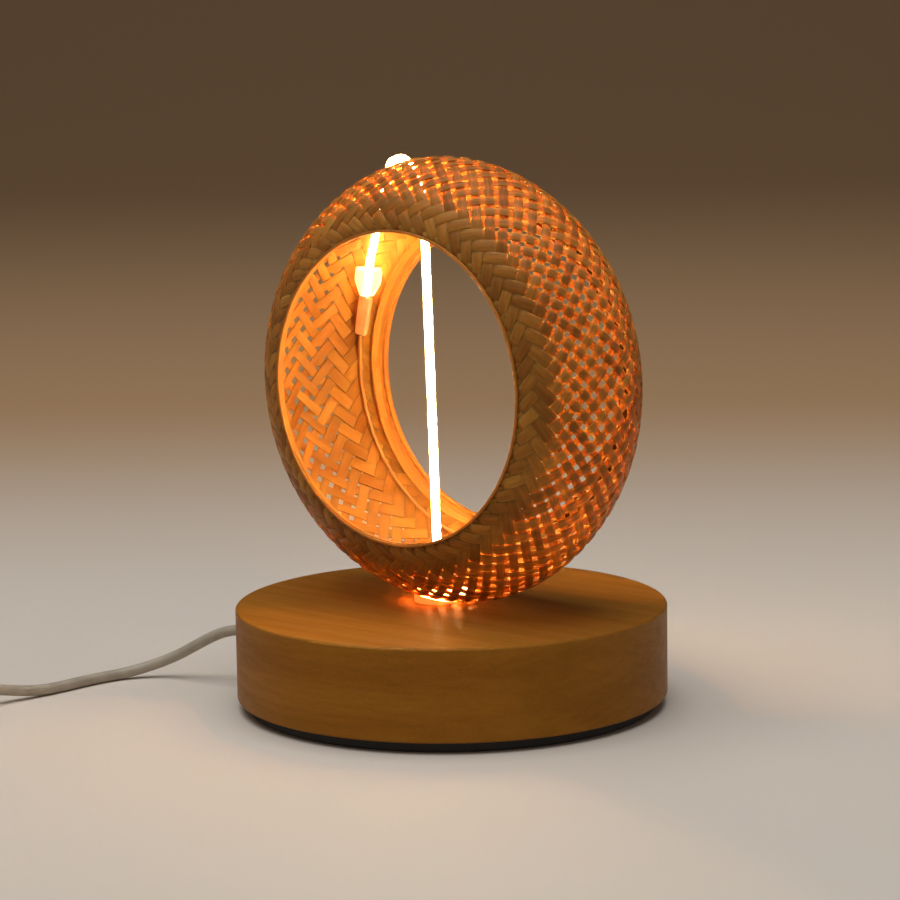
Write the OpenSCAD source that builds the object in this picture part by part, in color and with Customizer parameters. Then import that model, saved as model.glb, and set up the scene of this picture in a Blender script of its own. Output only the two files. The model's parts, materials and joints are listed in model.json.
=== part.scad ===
// Bamboo table lamp: a woven half-round ring stands on a turned wooden base.
// One flexible light filament runs up through the ring, hooks over its top and ends at the rear wall.
// Frame: +Z up, origin under the middle of the foot pad, the ring's axis along Y, millimetres.

/* [Base] */
// Diameter of the turned wooden base
base_d = 100; // [94:1:120]
// Height of the wood
base_h = 21; // [20:0.5:30]
// Rounding of the wood's edges
base_edge = 0.5; // [0.2:0.1:1.5]
// Wood left above the hollow
web_t = 6; // [5.5:0.5:8]
// Wood left round the hollow
base_wall = 11; // [10:0.5:12]
// Thickness of the cover under the hollow
cover_t = 2; // [1.5:0.5:3]
// Width of the ledge that the cover is screwed to
cover_ledge = 6; // [5.8:0.2:7]
// Thickness of the dark foot pad
pad_t = 2.5; // [1:0.5:4]
// How far the pad stays inside the wood's edge
pad_inset = 2.5; // [1:0.5:6]

/* [Woven ring] */
// Outside diameter of the ring
ring_d = 103; // [98:1:120]
// Diameter of the round opening
opening_d = 71.5; // [66:0.5:76]
// Width of the ring along its axis
ring_w = 38.3; // [36:0.1:46]
// Roundness of the ring's section: 2 is an ellipse, less is more pointed
ring_power = 1.65; // [1.5:0.05:2]
// Thickness of the woven wall
weave_t = 1.2; // [0.8:0.1:1.6]
// Width of the binding hoop inside each rim
hoop_w = 4; // [3:0.5:6]
// Thickness of the binding hoop
hoop_t = 0.9; // [0.6:0.1:1.2]
// How far a hoop stands past the woven edge
hoop_lip = 0.5; // [0:0.1:1]

/* [Filament] */
// Diameter of the light filament
filament_d = 2.2; // [1.6:0.1:2.4]
// Angle left of the ring's top where the filament passes out
hook_out_angle = 13; // [11:0.5:15]
// Angle left of the ring's top where it passes back in
hook_in_angle = 18.7; // [17:0.1:21]
// Least bend of the filament at the hook
hook_bend = 3; // [2.5:0.1:3.2]
// Width of the clear sleeve on the filament's far end
clear_sleeve_w = 6.2; // [5:0.1:6.4]
// Thickness of the clear sleeve
clear_sleeve_t = 2.8; // [2.6:0.1:3]
// Width of the narrow sleeve on the return lead
joint_sleeve_w = 3.2; // [2.4:0.1:4]
// Thickness of the narrow sleeve
joint_sleeve_t = 1.8; // [1.4:0.1:2.2]
// Diameter of the thin leads
lead_d = 0.8; // [0.6:0.1:0.9]

/* [Stem] */
// Place of the hollow stem left (negative) or right of the middle
stem_x = -4; // [-6:0.5:2]
// Outside diameter of the stem
stem_d = 8; // [7.6:0.1:8.4]
// Bore of the stem
stem_bore = 5.4; // [5.3:0.1:6]
// Width of a stem nut across its flats
nut_af = 13; // [12:0.5:14]
// Thickness of a stem nut
nut_t = 3; // [2:0.5:4]
// Diameter of the saddle inside the ring and of the washer
saddle_d = 16; // [15:0.5:18]
// Diameter of the small saddle between the base and the ring
lower_saddle_d = 11; // [10.5:0.5:14]
// Least thickness of the lower saddle
seat_t = 0.3; // [0.2:0.1:1]

/* [Driver board] */
// Length of the board
board_l = 26; // [24:1:30]
// Width of the board
board_w = 18; // [16:1:22]
// Thickness of the board
board_t = 1.6; // [1:0.2:2]
// Place of the board's middle, to the right of the base's middle
board_x = 20; // [18:1:22]
// Length of the spacers that carry the board
spacer_h = 4; // [3:0.5:5]

/* [Cord] */
// Diameter of the cord
cord_d = 2.6; // [2:0.1:3]
// Direction in which the cord leaves the base, counted from +X
exit_angle = 197; // [180:1:210]
// Depth of the cord's middle below the hollow's ceiling
cord_drop = 4.5; // [4:0.5:6]
// How far the grommet's nose stands out of the base
nose_l = 3; // [2:0.5:4]
// Turns in the put-away coil
coil_turns = 13.25; // [11.25:1:13.25]
// Diameter of the coil at the middle of its turns
coil_mean_d = 31.2; // [31:0.1:34]
// Distance from turn to turn within a layer
coil_pitch = 3.5; // [3.4:0.1:3.6]
// Height from layer to layer
coil_rise = 3.1; // [3.1:0.1:3.6]
// Width of the tie round the coil
tie_w = 8; // [5:0.5:10]
// Thickness of the tie
tie_t = 0.6; // [0.4:0.1:1]

/* [Inline switch] */
// Length of the switch along the cord
switch_l = 32; // [31:1:36]
// Width of the switch
switch_w = 13; // [12.8:0.2:16]
// Height of the switch
switch_h = 10.5; // [10.3:0.1:11]
// Wall of the switch shells
shell_t = 1.4; // [1.2:0.1:1.6]
// Length of the rocker's top
rocker_l = 10; // [9:0.5:11]
// Width of the rocker
rocker_w = 5.6; // [5:0.2:5.8]
// Tilt of the rocker to either side of level
rocker_tilt = 7; // [5:0.5:8]
// Diameter of the rocker's pin
pin_d = 1.5; // [1.2:0.1:1.6]

/* [Plug] */
// Width of the moulded plug body
plug_w = 14.5; // [14:0.5:16]
// Height of the plug body
plug_h = 7.6; // [7:0.2:9]
// Length of the plug body
plug_l = 17; // [14:1:22]
// Length of the tapered tail behind the body
tail_l = 7; // [5:1:12]
// Width of the metal contact shell
usb_w = 12; // [11.8:0.1:12.2]
// Height of the metal contact shell
usb_h = 4.5; // [4.4:0.1:4.6]
// Length of the contact shell past the body
usb_l = 12; // [11:0.5:13]

/* [Hidden] */
$fn = 48;

// Close fit, running fit and free clearance between pieces
fit = 0.05;
running_fit = 0.05;
free = 0.3;
// Overshoot of a cut, so that it leaves no skin
cut = 1;

// Base
base_r = base_d / 2;
base_top = pad_t + base_h;
ceiling = base_top - web_t;
cavity_r = base_r - base_wall;
cover_r = cavity_r + cover_ledge;
pad_edge = 0.4;

// Wood screws
screw_d = 2.6;
screw_head_d = 5;
screw_head_h = 1.6;
cover_screw_l = 10;
cover_screw_count = 3;
cover_screw_r = cavity_r + cover_ledge / 2;
cover_screw_turn = 30;
web_grip = 4.5;

// Ring
ring_r = ring_d / 2;
rim_r = opening_d / 2;
bulge = ring_r - rim_r;
half_w = ring_w / 2;
ring_z = base_top + seat_t + ring_r;
section_steps = 25;
ring_fn = 240;
hoop_gap = 0.1;
hoop_steps = 6;
hoop_half_w = half_w - weave_t - hoop_gap;
hoop_bulge = bulge - weave_t - hoop_gap;
hoop_reach = asin(pow(hoop_w / hoop_bulge, ring_power / 2));
hoop_edge_y = section(hoop_half_w - hoop_t, hoop_bulge - hoop_t, hoop_reach).y;

// Stem, nuts and saddles
washer_t = 1;
nut_spare = 1;
saddle_edge_t = 0.6;
bush_flange_t = 1;
bush_l = 4;
lead_y = 2;
saddle_r = saddle_d / 2;
saddle_top = floor_of_wall(saddle_r) + saddle_edge_t;
stem_top = saddle_top + nut_t + nut_spare;
stem_bottom = ceiling - washer_t - nut_t - nut_spare;
bush_top = stem_top + bush_flange_t;

// Filament route: up the middle, out over the ring's top, and down to the rear wall
ferrule_l = 4;
filament_z0 = stem_top - bush_l - cut;
lean_depth = 9.3;
lean_angle = 8.9;
hook_clear = 0.6;
passage_l = 13;
wall_gap = 2.4;
joint_gap = 2;
leg_top_angle = 54;
leg_end_angle = 65.5;
joint_end_angle = 80;
leg_top_clear = 3.7;
leg_end_clear = 2.2;
joint_end_clear = 1.5;
leg_top = inside_wall(leg_top_angle, hoop_edge_y - leg_top_clear, wall_gap);
leg_end = inside_wall(leg_end_angle, hoop_edge_y - leg_end_clear, wall_gap);
joint_end = inside_wall(joint_end_angle, hoop_edge_y - joint_end_clear, joint_gap);
lean_start = 2;
lean_bend = 12;
foot_bend = 30;
leg_bend = 6;
filament_points = [
    [stem_x, 0, filament_z0],
    [stem_x, 0, bush_top + lean_start],
    at_ring(ring_r - lean_depth, lean_angle, 0),
    at_ring(ring_r + filament_d / 2 + fit, hook_out_angle, 0),
    at_ring(ring_r + filament_d / 2 + fit, hook_in_angle, 0),
    leg_top,
    leg_end
];
filament_bends = [0, foot_bend, lean_bend, hook_bend, hook_bend, leg_bend, 0];
filament_sides = 12;
clear_sleeve_l = 7;
clear_sleeve_straight = 3.5;
sleeve_roll = 100;
joint_roll = 155;
joint_apart = 0.4;
upper_ferrule_l = 1.5;

// Return lead: beside the rear hoop along the inner wall, then over the nut into the bush
lead_end = 0.4;
lead_gap = 0.8;
lead_clear = 0.5;
lead_side_y = hoop_edge_y - lead_clear;
lead_points = concat(
    [joint_end + [-0.2, 0.1, -0.4], joint_end + [-0.3, 0.2, -1.6]],
    [for (a = [88:9:169]) inside_wall(a, lead_side_y, lead_gap)],
    [
        inside_wall(175, 13.5, lead_gap),
        [stem_x, 9.5, bush_top + 1.6],
        [stem_x, 5.5, bush_top + 3],
        [stem_x, 3.4, bush_top + 3.1],
        [stem_x, lead_y + 0.3, bush_top + 2.3],
        [stem_x, lead_y, bush_top + 1.2],
        [stem_x, lead_y, bush_top + lead_end]
    ]
);
lead_sides = 6;

// Driver board
board_z = ceiling - spacer_h - board_t;
board_hole_inset = 3;
spacer_d = 5;
board_screw_d = 2;
board_screw_head_d = 4;
board_screw_head_h = 1.4;
board_pad_inset = 2.5;
board_pad_x = board_x - board_l / 2 + board_pad_inset;
solder_gap = 0.02;
wire_z = board_z - 3.4;
wire_d = 1;
wire_side = 0.75;
supply_pad_y = -2;
lead_pad_y = 2;
pad_pitch = 3;
wire_bend = 2;
wire_straight = 4;
supply_turn = [-12, -10];

// Cord exit
exit_z = ceiling - cord_drop;
grommet_wall = 1.9;
grommet_d = cord_d + 2 * grommet_wall;
flange_d = grommet_d + 3;
flange_t = 1.5;
spot_depth = 1;
nose_tip_d = cord_d + 1.4;
clamp_r = 29;
clamp_l = 8;
clamp_w = 16;
clamp_under = 1.6;
clamp_screw_side = 5.2;
inlet_r = clamp_r - clamp_l;
nose_r = base_r + nose_l;

// Inline switch, lying along Y beside the picture's left edge
switch_x = -84;
switch_front_y = -75;
switch_y = switch_front_y - switch_l / 2;
split_z = 4.2;
switch_corner = 3.5;
roof_z = switch_h - shell_t;
pin_z = 7.6;
window_free = 0.25;
window_l = rocker_l + 1.4;
ear_t = 1.3;
ear_x = rocker_w / 2 + free;
ear_d = 3.6;
pin_l = 2 * (ear_x + ear_t);
boss_d = 4.4;
boss_x = switch_w / 2 - shell_t - 1.2;
boss_y = switch_l / 2 - 4.5;
case_screw_d = 1.6;
case_screw_head_d = 3.6;
case_screw_head_h = 1;
case_screw_l = 7.5;
contact_w = 3;
contact_t = 0.4;
leaf_t = 0.3;
post_low = 3;
post_high = 3.7;
cord_end_l = 2.5;
core_d = 0.9;
core_side = 0.6;
core_gap = 0.3;
solder_y = 9;

// Coil: enters on its left side, winds counterclockwise in four layers and ends at its lowest side
coil_layers = 4;
coil_rings = 24;
coil_sides = 6;
cord_sides = 8;
coil_start_angle = 180;
layer_turns = (coil_turns - (coil_layers - 1) / 2) / coil_layers;
coil_spread = layer_turns * coil_pitch;
coil_r_out = coil_mean_d / 2 + coil_spread / 2;
coil_r_in = coil_mean_d / 2 - coil_spread / 2;
coil_lift = tie_t + free;
coil_z = coil_lift + cord_d / 2;
coil_entry = [switch_x, -130];
coil_c = [coil_entry.x + coil_r_out, coil_entry.y];
coil_top_z = coil_z + (coil_layers - 1) * coil_rise;
tie_angle = 45;

// Plug, lying along +X after the coil's end
plug_run = 28;
plug_x = coil_c.x + plug_run;
plug_y = coil_c.y - coil_r_out;
plug_z = plug_h / 2;
plug_corner = 2.4;
usb_wall = 0.3;
usb_inset = 5;
tongue_h = 1.9;
plug_contact_w = 1;
plug_contact_t = 0.2;
plug_contact_l = 9;
plug_contact_y = [-3.5, -1, 1, 3.5];

// Route of the cord from the grommet to the switch
lamp_side_points = [
    exit_point(nose_r, 0, exit_z),
    exit_point(nose_r + cord_d, 0, exit_z),
    [-57.4, -17.5, 12],
    [-61.2, -18.7, 10.2],
    [-65, -19.9, 8],
    [-69, -21.3, 5.7],
    [-73, -23.5, 3.7],
    [-76.5, -27, 2.2],
    [-79, -31.5, 1.4],
    [-80.3, -37, 1.3],
    [-80.8, -43, 1.3],
    [-81, -49, 1.3],
    [-81.5, -54.5, 1.5],
    [-82.5, -60, 2.2],
    [-83.5, -65.5, 3.3],
    [-84, -70.5, 4],
    [switch_x, switch_front_y + cord_d, split_z],
    [switch_x, switch_front_y, split_z]
];

// Route of the cord from the switch to the coil
to_coil_points = [
    [switch_x, switch_front_y - switch_l, split_z],
    [switch_x, switch_front_y - switch_l - cord_d, split_z],
    [-84, -115, 3.6],
    [-84, -120, 2.6],
    [switch_x, coil_entry.y + 2 * cord_d, coil_z],
    [switch_x, coil_entry.y + cord_d, coil_z]
];

// Route of the cord from the coil to the plug
plug_end_points = [
    [coil_c.x + cord_d, plug_y, coil_top_z],
    [coil_c.x + 2 * cord_d, plug_y, coil_top_z],
    [coil_c.x + 10, plug_y, 10.4],
    [coil_c.x + 14.5, plug_y, 8.4],
    [coil_c.x + 19, plug_y, 6],
    [coil_c.x + 23, plug_y, 4.4],
    [plug_x - cord_d, plug_y, plug_z],
    [plug_x, plug_y, plug_z]
];

// Points and directions
corner_step = 18;
function unit(v) = v / norm(v);
function clamped(x) = max(-1, min(1, x));
function aim(v) = [0, acos(clamped(v.z / norm(v))), atan2(v.y, v.x)];
function section(a, b, t) = [
    rim_r + b * pow(sin(t), 2 / ring_power),
    a * sign(cos(t)) * pow(abs(cos(t)), 2 / ring_power)
];
function section_points(a, b) = [for (i = [0:section_steps]) section(a, b, 180 * i / section_steps)];
function reversed(list) = [for (i = [len(list) - 1:-1:0]) list[i]];
function inner_r(y, gap) =
    let (a = half_w - weave_t - gap, b = bulge - weave_t - gap)
    rim_r + b * pow(1 - pow(abs(y) / a, ring_power), 1 / ring_power);
function floor_of_wall(y) = ring_z - inner_r(y, 0);
function at_ring(r, a, y) = [-r * sin(a), y, ring_z + r * cos(a)];
function inside_wall(a, y, gap) = at_ring(inner_r(y, gap), a, y);
function exit_point(r, side, z) = [
    r * cos(exit_angle) - side * sin(exit_angle),
    r * sin(exit_angle) + side * cos(exit_angle),
    z
];
function direction(points, i) = unit(points[i + 1] - points[i]);
function turn_at(points, i) = acos(clamped(direction(points, i - 1) * direction(points, i)));
function trim_at(points, bends, i) =
    i == 0 || i == len(points) - 1 ? 0 : bends[i] * tan(turn_at(points, i) / 2);
function bent_length(points, bends) =
    sum([for (i = [0:len(points) - 2])
        norm(points[i + 1] - points[i]) - trim_at(points, bends, i) - trim_at(points, bends, i + 1)])
    + sum([for (i = [1:len(points) - 2]) bends[i] * turn_at(points, i) * PI / 180]);
function corner(points, bends, i) =
    let (
        before = direction(points, i - 1),
        start = points[i] - trim_at(points, bends, i) * before,
        axis = unit(cross(before, direction(points, i))),
        inward = unit(cross(axis, before)),
        turn = turn_at(points, i),
        steps = max(2, ceil(turn / corner_step))
    )
    [for (k = [0:steps])
        start + bends[i] * (1 - cos(turn * k / steps)) * inward + bends[i] * sin(turn * k / steps) * before];
function rounded(points, bends) = concat(
    [points[0]],
    [for (i = [1:len(points) - 2]) each corner(points, bends, i)],
    [points[len(points) - 1]]
);
function sum(list) = [for (i = 0, s = 0; i <= len(list); s = s + (i < len(list) ? list[i] : 0), i = i + 1) s][len(list)];
function path_length(points) = sum([for (i = [0:len(points) - 2]) norm(points[i + 1] - points[i])]);

// A coil's place after s turns: it spirals within a layer and climbs in the half turn between layers
function coil_layer(s) = min(coil_layers - 1, floor(s / (layer_turns + 0.5)));
function coil_within(s) = s - coil_layer(s) * (layer_turns + 0.5);
function coil_inward(s) = coil_layer(s) % 2 == 0;
function coil_radius(s) =
    let (step = coil_pitch * min(coil_within(s), layer_turns))
    coil_inward(s) ? coil_r_out - step : coil_r_in + step;
function coil_height(s) = coil_z + coil_rise * (coil_layer(s) + max(0, coil_within(s) - layer_turns) / 0.5);
function coil_place(s) = [
    coil_c.x + coil_radius(s) * cos(coil_start_angle + 360 * s),
    coil_c.y + coil_radius(s) * sin(coil_start_angle + 360 * s),
    coil_height(s)
];
coil_ring_count = floor(coil_turns * coil_rings);
coil_points = concat(
    [coil_place(0) + [0, cord_d, 0]],
    [for (i = [0:coil_ring_count]) coil_place(min(coil_turns, i / coil_rings))],
    [coil_place(coil_turns) + [cord_d, 0, 0]]
);
function least_gap(points, apart) = min([
    for (i = [0:len(points) - 1 - apart])
        for (j = [i + apart:len(points) - 1]) norm(points[i] - points[j])
]) - cord_d;

// A straight round rod from a to b
module rod(a, b, d) {
    translate(a) rotate(aim(b - a)) cylinder(h = norm(b - a), d = d);
}

// A faceted tube swept along points, one ring at each point
module tube(points, d, sides) {
    last = len(points) - 1;
    ways = [for (i = [0:last]) unit(points[min(i + 1, last)] - points[max(i - 1, 0)])];
    first = unit(cross(ways[0], abs(ways[0].z) < 0.9 ? [0, 0, 1] : [0, 1, 0]));
    crossways = [
        for (i = 0, s = first; i <= last; i = i + 1, s = i <= last ? unit(s - (s * ways[i]) * ways[i]) : s) s
    ];
    places = [
        for (i = [0:last])
            for (k = [0:sides - 1])
                points[i] + d / 2 * (cos(360 * k / sides) * crossways[i]
                    + sin(360 * k / sides) * cross(ways[i], crossways[i]))
    ];
    walls = [
        for (i = [0:last - 1])
            for (k = [0:sides - 1])
                let (a = i * sides + k, b = i * sides + (k + 1) % sides)
                each [[a, a + sides, b + sides], [a, b + sides, b]]
    ];
    front = [for (k = [1:sides - 2]) [0, k, k + 1]];
    end = last * sides;
    rear = [for (k = [1:sides - 2]) [end, end + k + 1, end + k]];
    polyhedron(points = places, faces = concat(front, walls, rear));
}

// A disc with rounded edges
module edged_disc(r, h, edge) {
    rotate_extrude() {
        square([r - edge, h]);
        translate([0, edge]) square([r, h - 2 * edge]);
        translate([r - edge, edge]) circle(edge);
        translate([r - edge, h - edge]) circle(edge);
    }
}

// A flat shape with round corners, centred
module round_plate(w, l, corner) {
    square([w - 2 * corner, l], center = true);
    square([w, l - 2 * corner], center = true);
    for (x = [-1, 1], y = [-1, 1]) translate([x * (w / 2 - corner), y * (l / 2 - corner)]) circle(corner);
}

// A screw that points up, its head's seat at z = 0
module cap_screw(d, l, head_d, head_h) {
    translate([0, 0, -head_h]) cylinder(h = head_h, d = head_d);
    cylinder(h = l, d = d);
}

// A flat-headed screw that points up, its head's face at z = 0
module flat_screw(d, l, head_d, head_h) {
    cylinder(h = head_h, d1 = head_d, d2 = d);
    cylinder(h = l, d = d);
}

// A hexagon nut with its lower face at z = 0
module hex_nut(af, t, bore) {
    difference() {
        cylinder(h = t, d = af / cos(30), $fn = 6);
        translate([0, 0, -cut]) cylinder(h = t + 2 * cut, d = bore);
    }
}

// Places
module at_exit() {
    translate([0, 0, exit_z]) rotate([0, 0, exit_angle]) rotate([0, 90, 0]) children();
}

module at_stem(z) {
    translate([stem_x, 0, z]) children();
}

module at_cover_screws() {
    for (i = [0:cover_screw_count - 1])
        rotate([0, 0, cover_screw_turn + 360 * i / cover_screw_count])
            translate([cover_screw_r, 0, pad_t]) children();
}

module at_board_screws() {
    for (s = [-1, 1])
        translate([board_x + s * (board_l / 2 - board_hole_inset), s * (board_w / 2 - board_hole_inset), 0])
            children();
}

module at_clamp_screws() {
    for (s = [-1, 1]) translate(exit_point(clamp_r, s * clamp_screw_side, 0)) children();
}

module at_switch(z) {
    translate([switch_x, switch_y, z]) children();
}

module at_switch_screws(z) {
    for (s = [-1, 1]) at_switch(z) translate([boss_x, s * boss_y, 0]) children();
}

module at_plug() {
    translate([plug_x, plug_y, plug_z]) rotate([0, 90, 0]) children();
}

module along(a, b, roll) {
    translate(a) rotate(aim(b - a)) rotate([0, 0, roll]) children();
}

module on_ring_axis() {
    translate([0, 0, ring_z]) rotate([90, 0, 0]) rotate_extrude($fn = ring_fn) children();
}

// The ring's outside, or a shape inside it, filled to the axis
module ring_filled(a, b) {
    on_ring_axis() polygon(concat([[0, a]], section_points(a, b), [[0, -a]]));
}

// Base
module wood_base() {
    color("peru") difference() {
        translate([0, 0, pad_t]) edged_disc(base_r, base_h, base_edge);
        translate([0, 0, pad_t - cut]) cylinder(h = ceiling - pad_t + cut, r = cavity_r);
        translate([0, 0, pad_t - cut]) cylinder(h = cover_t + cut, r = cover_r);
        at_stem(ceiling - cut) cylinder(h = web_t + 2 * cut, d = stem_d + 2 * fit);
        at_exit() translate([0, 0, cavity_r - base_wall]) cylinder(h = 2 * base_wall + cut, d = grommet_d + 2 * fit);
        at_exit() translate([0, 0, base_r - spot_depth]) cylinder(h = spot_depth + cut, d = flange_d + 2 * free);
        at_cover_screws() cylinder(h = cover_screw_l + fit, d = screw_d + 2 * fit);
        at_board_screws() translate([0, 0, ceiling - cut]) cylinder(h = web_grip + cut + fit, d = board_screw_d + 2 * fit);
        at_clamp_screws() translate([0, 0, ceiling - cut]) cylinder(h = web_grip + cut + fit, d = screw_d + 2 * fit);
    }
}

module base_cover() {
    color("tan") difference() {
        translate([0, 0, pad_t]) cylinder(h = cover_t, r = cover_r - free);
        at_cover_screws() translate([0, 0, -cut]) cylinder(h = cover_t + 2 * cut, d = screw_d + 2 * fit);
        at_cover_screws() translate([0, 0, -fit])
            cylinder(h = screw_head_h + fit, d1 = screw_head_d + 4 * fit, d2 = screw_d + 2 * fit);
    }
}

module cover_screws() {
    color("silver") at_cover_screws() flat_screw(screw_d, cover_screw_l, screw_head_d, screw_head_h);
}

module foot_pad() {
    color("black") edged_disc(base_r - pad_inset, pad_t, pad_edge);
}

// Driver
module driver_board() {
    color("darkgreen") difference() {
        translate([board_x - board_l / 2, -board_w / 2, board_z]) cube([board_l, board_w, board_t]);
        at_board_screws() translate([0, 0, board_z - cut]) cylinder(h = board_t + 2 * cut, d = board_screw_d + 2 * fit);
    }
}

module under_board(x, y, size) {
    translate([board_x + x - size.x / 2, y - size.y / 2, board_z - size.z]) cube(size);
}

module driver_chip() {
    color("dimgray") under_board(0, 0, [5, 4, 1.5]);
}

module driver_resistors() {
    color("black") for (i = [-1:1]) under_board(6, i * 2.6, [3.2, 1.6, 0.6]);
}

module driver_capacitor() {
    color("navy") translate([board_x - 5, -2.5, board_z - 5]) cylinder(h = 5, d = 4.4);
}

module board_spacers() {
    color("white") at_board_screws() difference() {
        translate([0, 0, ceiling - spacer_h]) cylinder(h = spacer_h, d = spacer_d);
        translate([0, 0, ceiling - spacer_h - cut]) cylinder(h = spacer_h + 2 * cut, d = board_screw_d + 2 * fit);
    }
}

module board_screws() {
    color("silver") at_board_screws() translate([0, 0, board_z])
        cap_screw(board_screw_d, board_t + spacer_h + web_grip, board_screw_head_d, board_screw_head_h);
}

module wire_to_board(start, bends, y, d) {
    points = concat(start, [[board_pad_x, y, wire_z], [board_pad_x, y, board_z - solder_gap]]);
    tube(rounded(points, bends), d, lead_sides);
}

module supply_wires() {
    color("firebrick") for (s = [-1, 1])
        wire_to_board(
            [exit_point(inlet_r, s * wire_side, exit_z), exit_point(inlet_r - wire_straight, s * wire_side, exit_z),
                [supply_turn.x, supply_turn.y - s * wire_side, wire_z]],
            [0, wire_bend, wire_bend, wire_bend, 0], supply_pad_y - s * wire_side, wire_d);
}

module filament_leads() {
    bends = [0, wire_bend, wire_bend, 0];
    color("gold") {
        wire_to_board([[stem_x, 0, filament_z0 - ferrule_l], [stem_x, 0, wire_z]], bends, lead_pad_y, lead_d);
        wire_to_board([[stem_x, lead_y, bush_top + lead_end], [stem_x, lead_y, wire_z]], bends, lead_pad_y + pad_pitch, lead_d);
    }
}

// Cord exit
module cord_clamp() {
    bottom = exit_z - cord_d / 2 - clamp_under;
    color("ivory") difference() {
        translate(exit_point(clamp_r, 0, bottom)) rotate([0, 0, exit_angle])
            translate([-clamp_l / 2, -clamp_w / 2, 0]) cube([clamp_l, clamp_w, ceiling - bottom]);
        at_exit() cylinder(h = base_r, d = cord_d + 2 * fit);
        at_clamp_screws() translate([0, 0, bottom - cut]) cylinder(h = ceiling - bottom + 2 * cut, d = screw_d + 2 * fit);
    }
}

module clamp_screws() {
    bottom = exit_z - cord_d / 2 - clamp_under;
    color("silver") at_clamp_screws() translate([0, 0, bottom])
        cap_screw(screw_d, ceiling - bottom + web_grip, screw_head_d, screw_head_h);
}

module cord_grommet() {
    seat = base_r - spot_depth;
    inside = sqrt(cavity_r * cavity_r - grommet_d * grommet_d / 4);
    color("dimgray") difference() {
        at_exit() union() {
            translate([0, 0, inside]) cylinder(h = seat - inside, d = grommet_d);
            translate([0, 0, seat]) cylinder(h = flange_t, d = flange_d);
            translate([0, 0, seat + flange_t]) cylinder(h = nose_r - seat - flange_t, d1 = grommet_d, d2 = nose_tip_d);
        }
        at_exit() cylinder(h = 2 * base_r, d = cord_d + 2 * fit);
    }
}

module cord_inlet() {
    color("gray") at_exit() translate([0, 0, inlet_r]) cylinder(h = nose_r - inlet_r, d = cord_d);
}

// Stem
module stem() {
    color("ivory") at_stem(stem_bottom) difference() {
        cylinder(h = stem_top - stem_bottom, d = stem_d);
        translate([0, 0, -cut]) cylinder(h = stem_top - stem_bottom + 2 * cut, d = stem_bore);
    }
}

module stem_washer() {
    color("silver") at_stem(ceiling - washer_t) difference() {
        cylinder(h = washer_t, d = saddle_d);
        translate([0, 0, -cut]) cylinder(h = washer_t + 2 * cut, d = stem_d + 2 * fit);
    }
}

module stem_lower_nut() {
    color("goldenrod") at_stem(ceiling - washer_t - nut_t) hex_nut(nut_af, nut_t, stem_d + 2 * fit);
}

module stem_upper_nut() {
    color("ivory") at_stem(saddle_top) hex_nut(nut_af, nut_t, stem_d + 2 * fit);
}

module lower_saddle() {
    color("ivory") difference() {
        at_stem(base_top) cylinder(h = bulge / 2, d = lower_saddle_d);
        at_stem(base_top - cut) cylinder(h = bulge, d = stem_d + 2 * fit);
        ring_filled(half_w + fit, bulge + fit);
    }
}

module upper_saddle() {
    color("ivory") difference() {
        intersection() {
            at_stem(base_top) cylinder(h = saddle_top - base_top, d = saddle_d);
            ring_filled(half_w - weave_t - fit, bulge - weave_t - fit);
        }
        at_stem(base_top - cut) cylinder(h = bulge, d = stem_d + 2 * fit);
    }
}

module stem_bush() {
    color("ivory") at_stem(stem_top) difference() {
        union() {
            cylinder(h = bush_flange_t, d = stem_d);
            translate([0, 0, -bush_l]) cylinder(h = bush_l + fit, d = stem_bore - 2 * fit);
        }
        translate([0, 0, -bush_l - cut]) cylinder(h = bush_l + bush_flange_t + 2 * cut, d = filament_d + 2 * fit);
        translate([0, lead_y, -bush_l - cut]) cylinder(h = bush_l + bush_flange_t + 2 * cut, d = lead_d + 2 * fit);
    }
}

// Ring
module woven_wall() {
    out = filament_points[3];
    in = filament_points[4];
    hole_d = filament_d + 2 * hook_clear;
    groove_d = hole_d - free;
    back = direction(filament_points, 4);
    color("darkgoldenrod") difference() {
        on_ring_axis() polygon(concat(
            section_points(half_w, bulge), reversed(section_points(half_w - weave_t, bulge - weave_t))));
        at_stem(base_top) cylinder(h = bulge, d = stem_d + 2 * fit);
        rod(filament_points[2], out, hole_d);
        rod(out, in, groove_d);
        rod(in - hook_bend * back, in + passage_l * back, hole_d);
    }
}

module rim_hoop() {
    inner_half_w = hoop_half_w - hoop_t;
    outer = [for (i = [0:hoop_steps]) section(hoop_half_w, hoop_bulge, hoop_reach * i / hoop_steps)];
    inner = [for (i = [0:hoop_steps]) section(inner_half_w, hoop_bulge - hoop_t, hoop_reach * i / hoop_steps)];
    on_ring_axis() polygon(concat(
        [[rim_r - hoop_lip, hoop_half_w]], outer, reversed(inner), [[rim_r - hoop_lip, inner_half_w]]));
}

module front_rim_hoop() {
    color("burlywood") rim_hoop();
}

module rear_rim_hoop() {
    color("burlywood") mirror([0, 1, 0]) rim_hoop();
}

// Filament
module led_filament() {
    color("lightyellow") tube(rounded(filament_points, filament_bends), filament_d, filament_sides);
    echo(filament_length = bent_length(filament_points, filament_bends));
}

module filament_ferrules() {
    color("silver") {
        at_stem(filament_z0 - ferrule_l) cylinder(h = ferrule_l, d = filament_d - 2 * fit);
        along(leg_end, leg_end + leg_end - leg_top, 0) cylinder(h = upper_ferrule_l, d = joint_sleeve_t - 2 * fit);
    }
}

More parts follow.
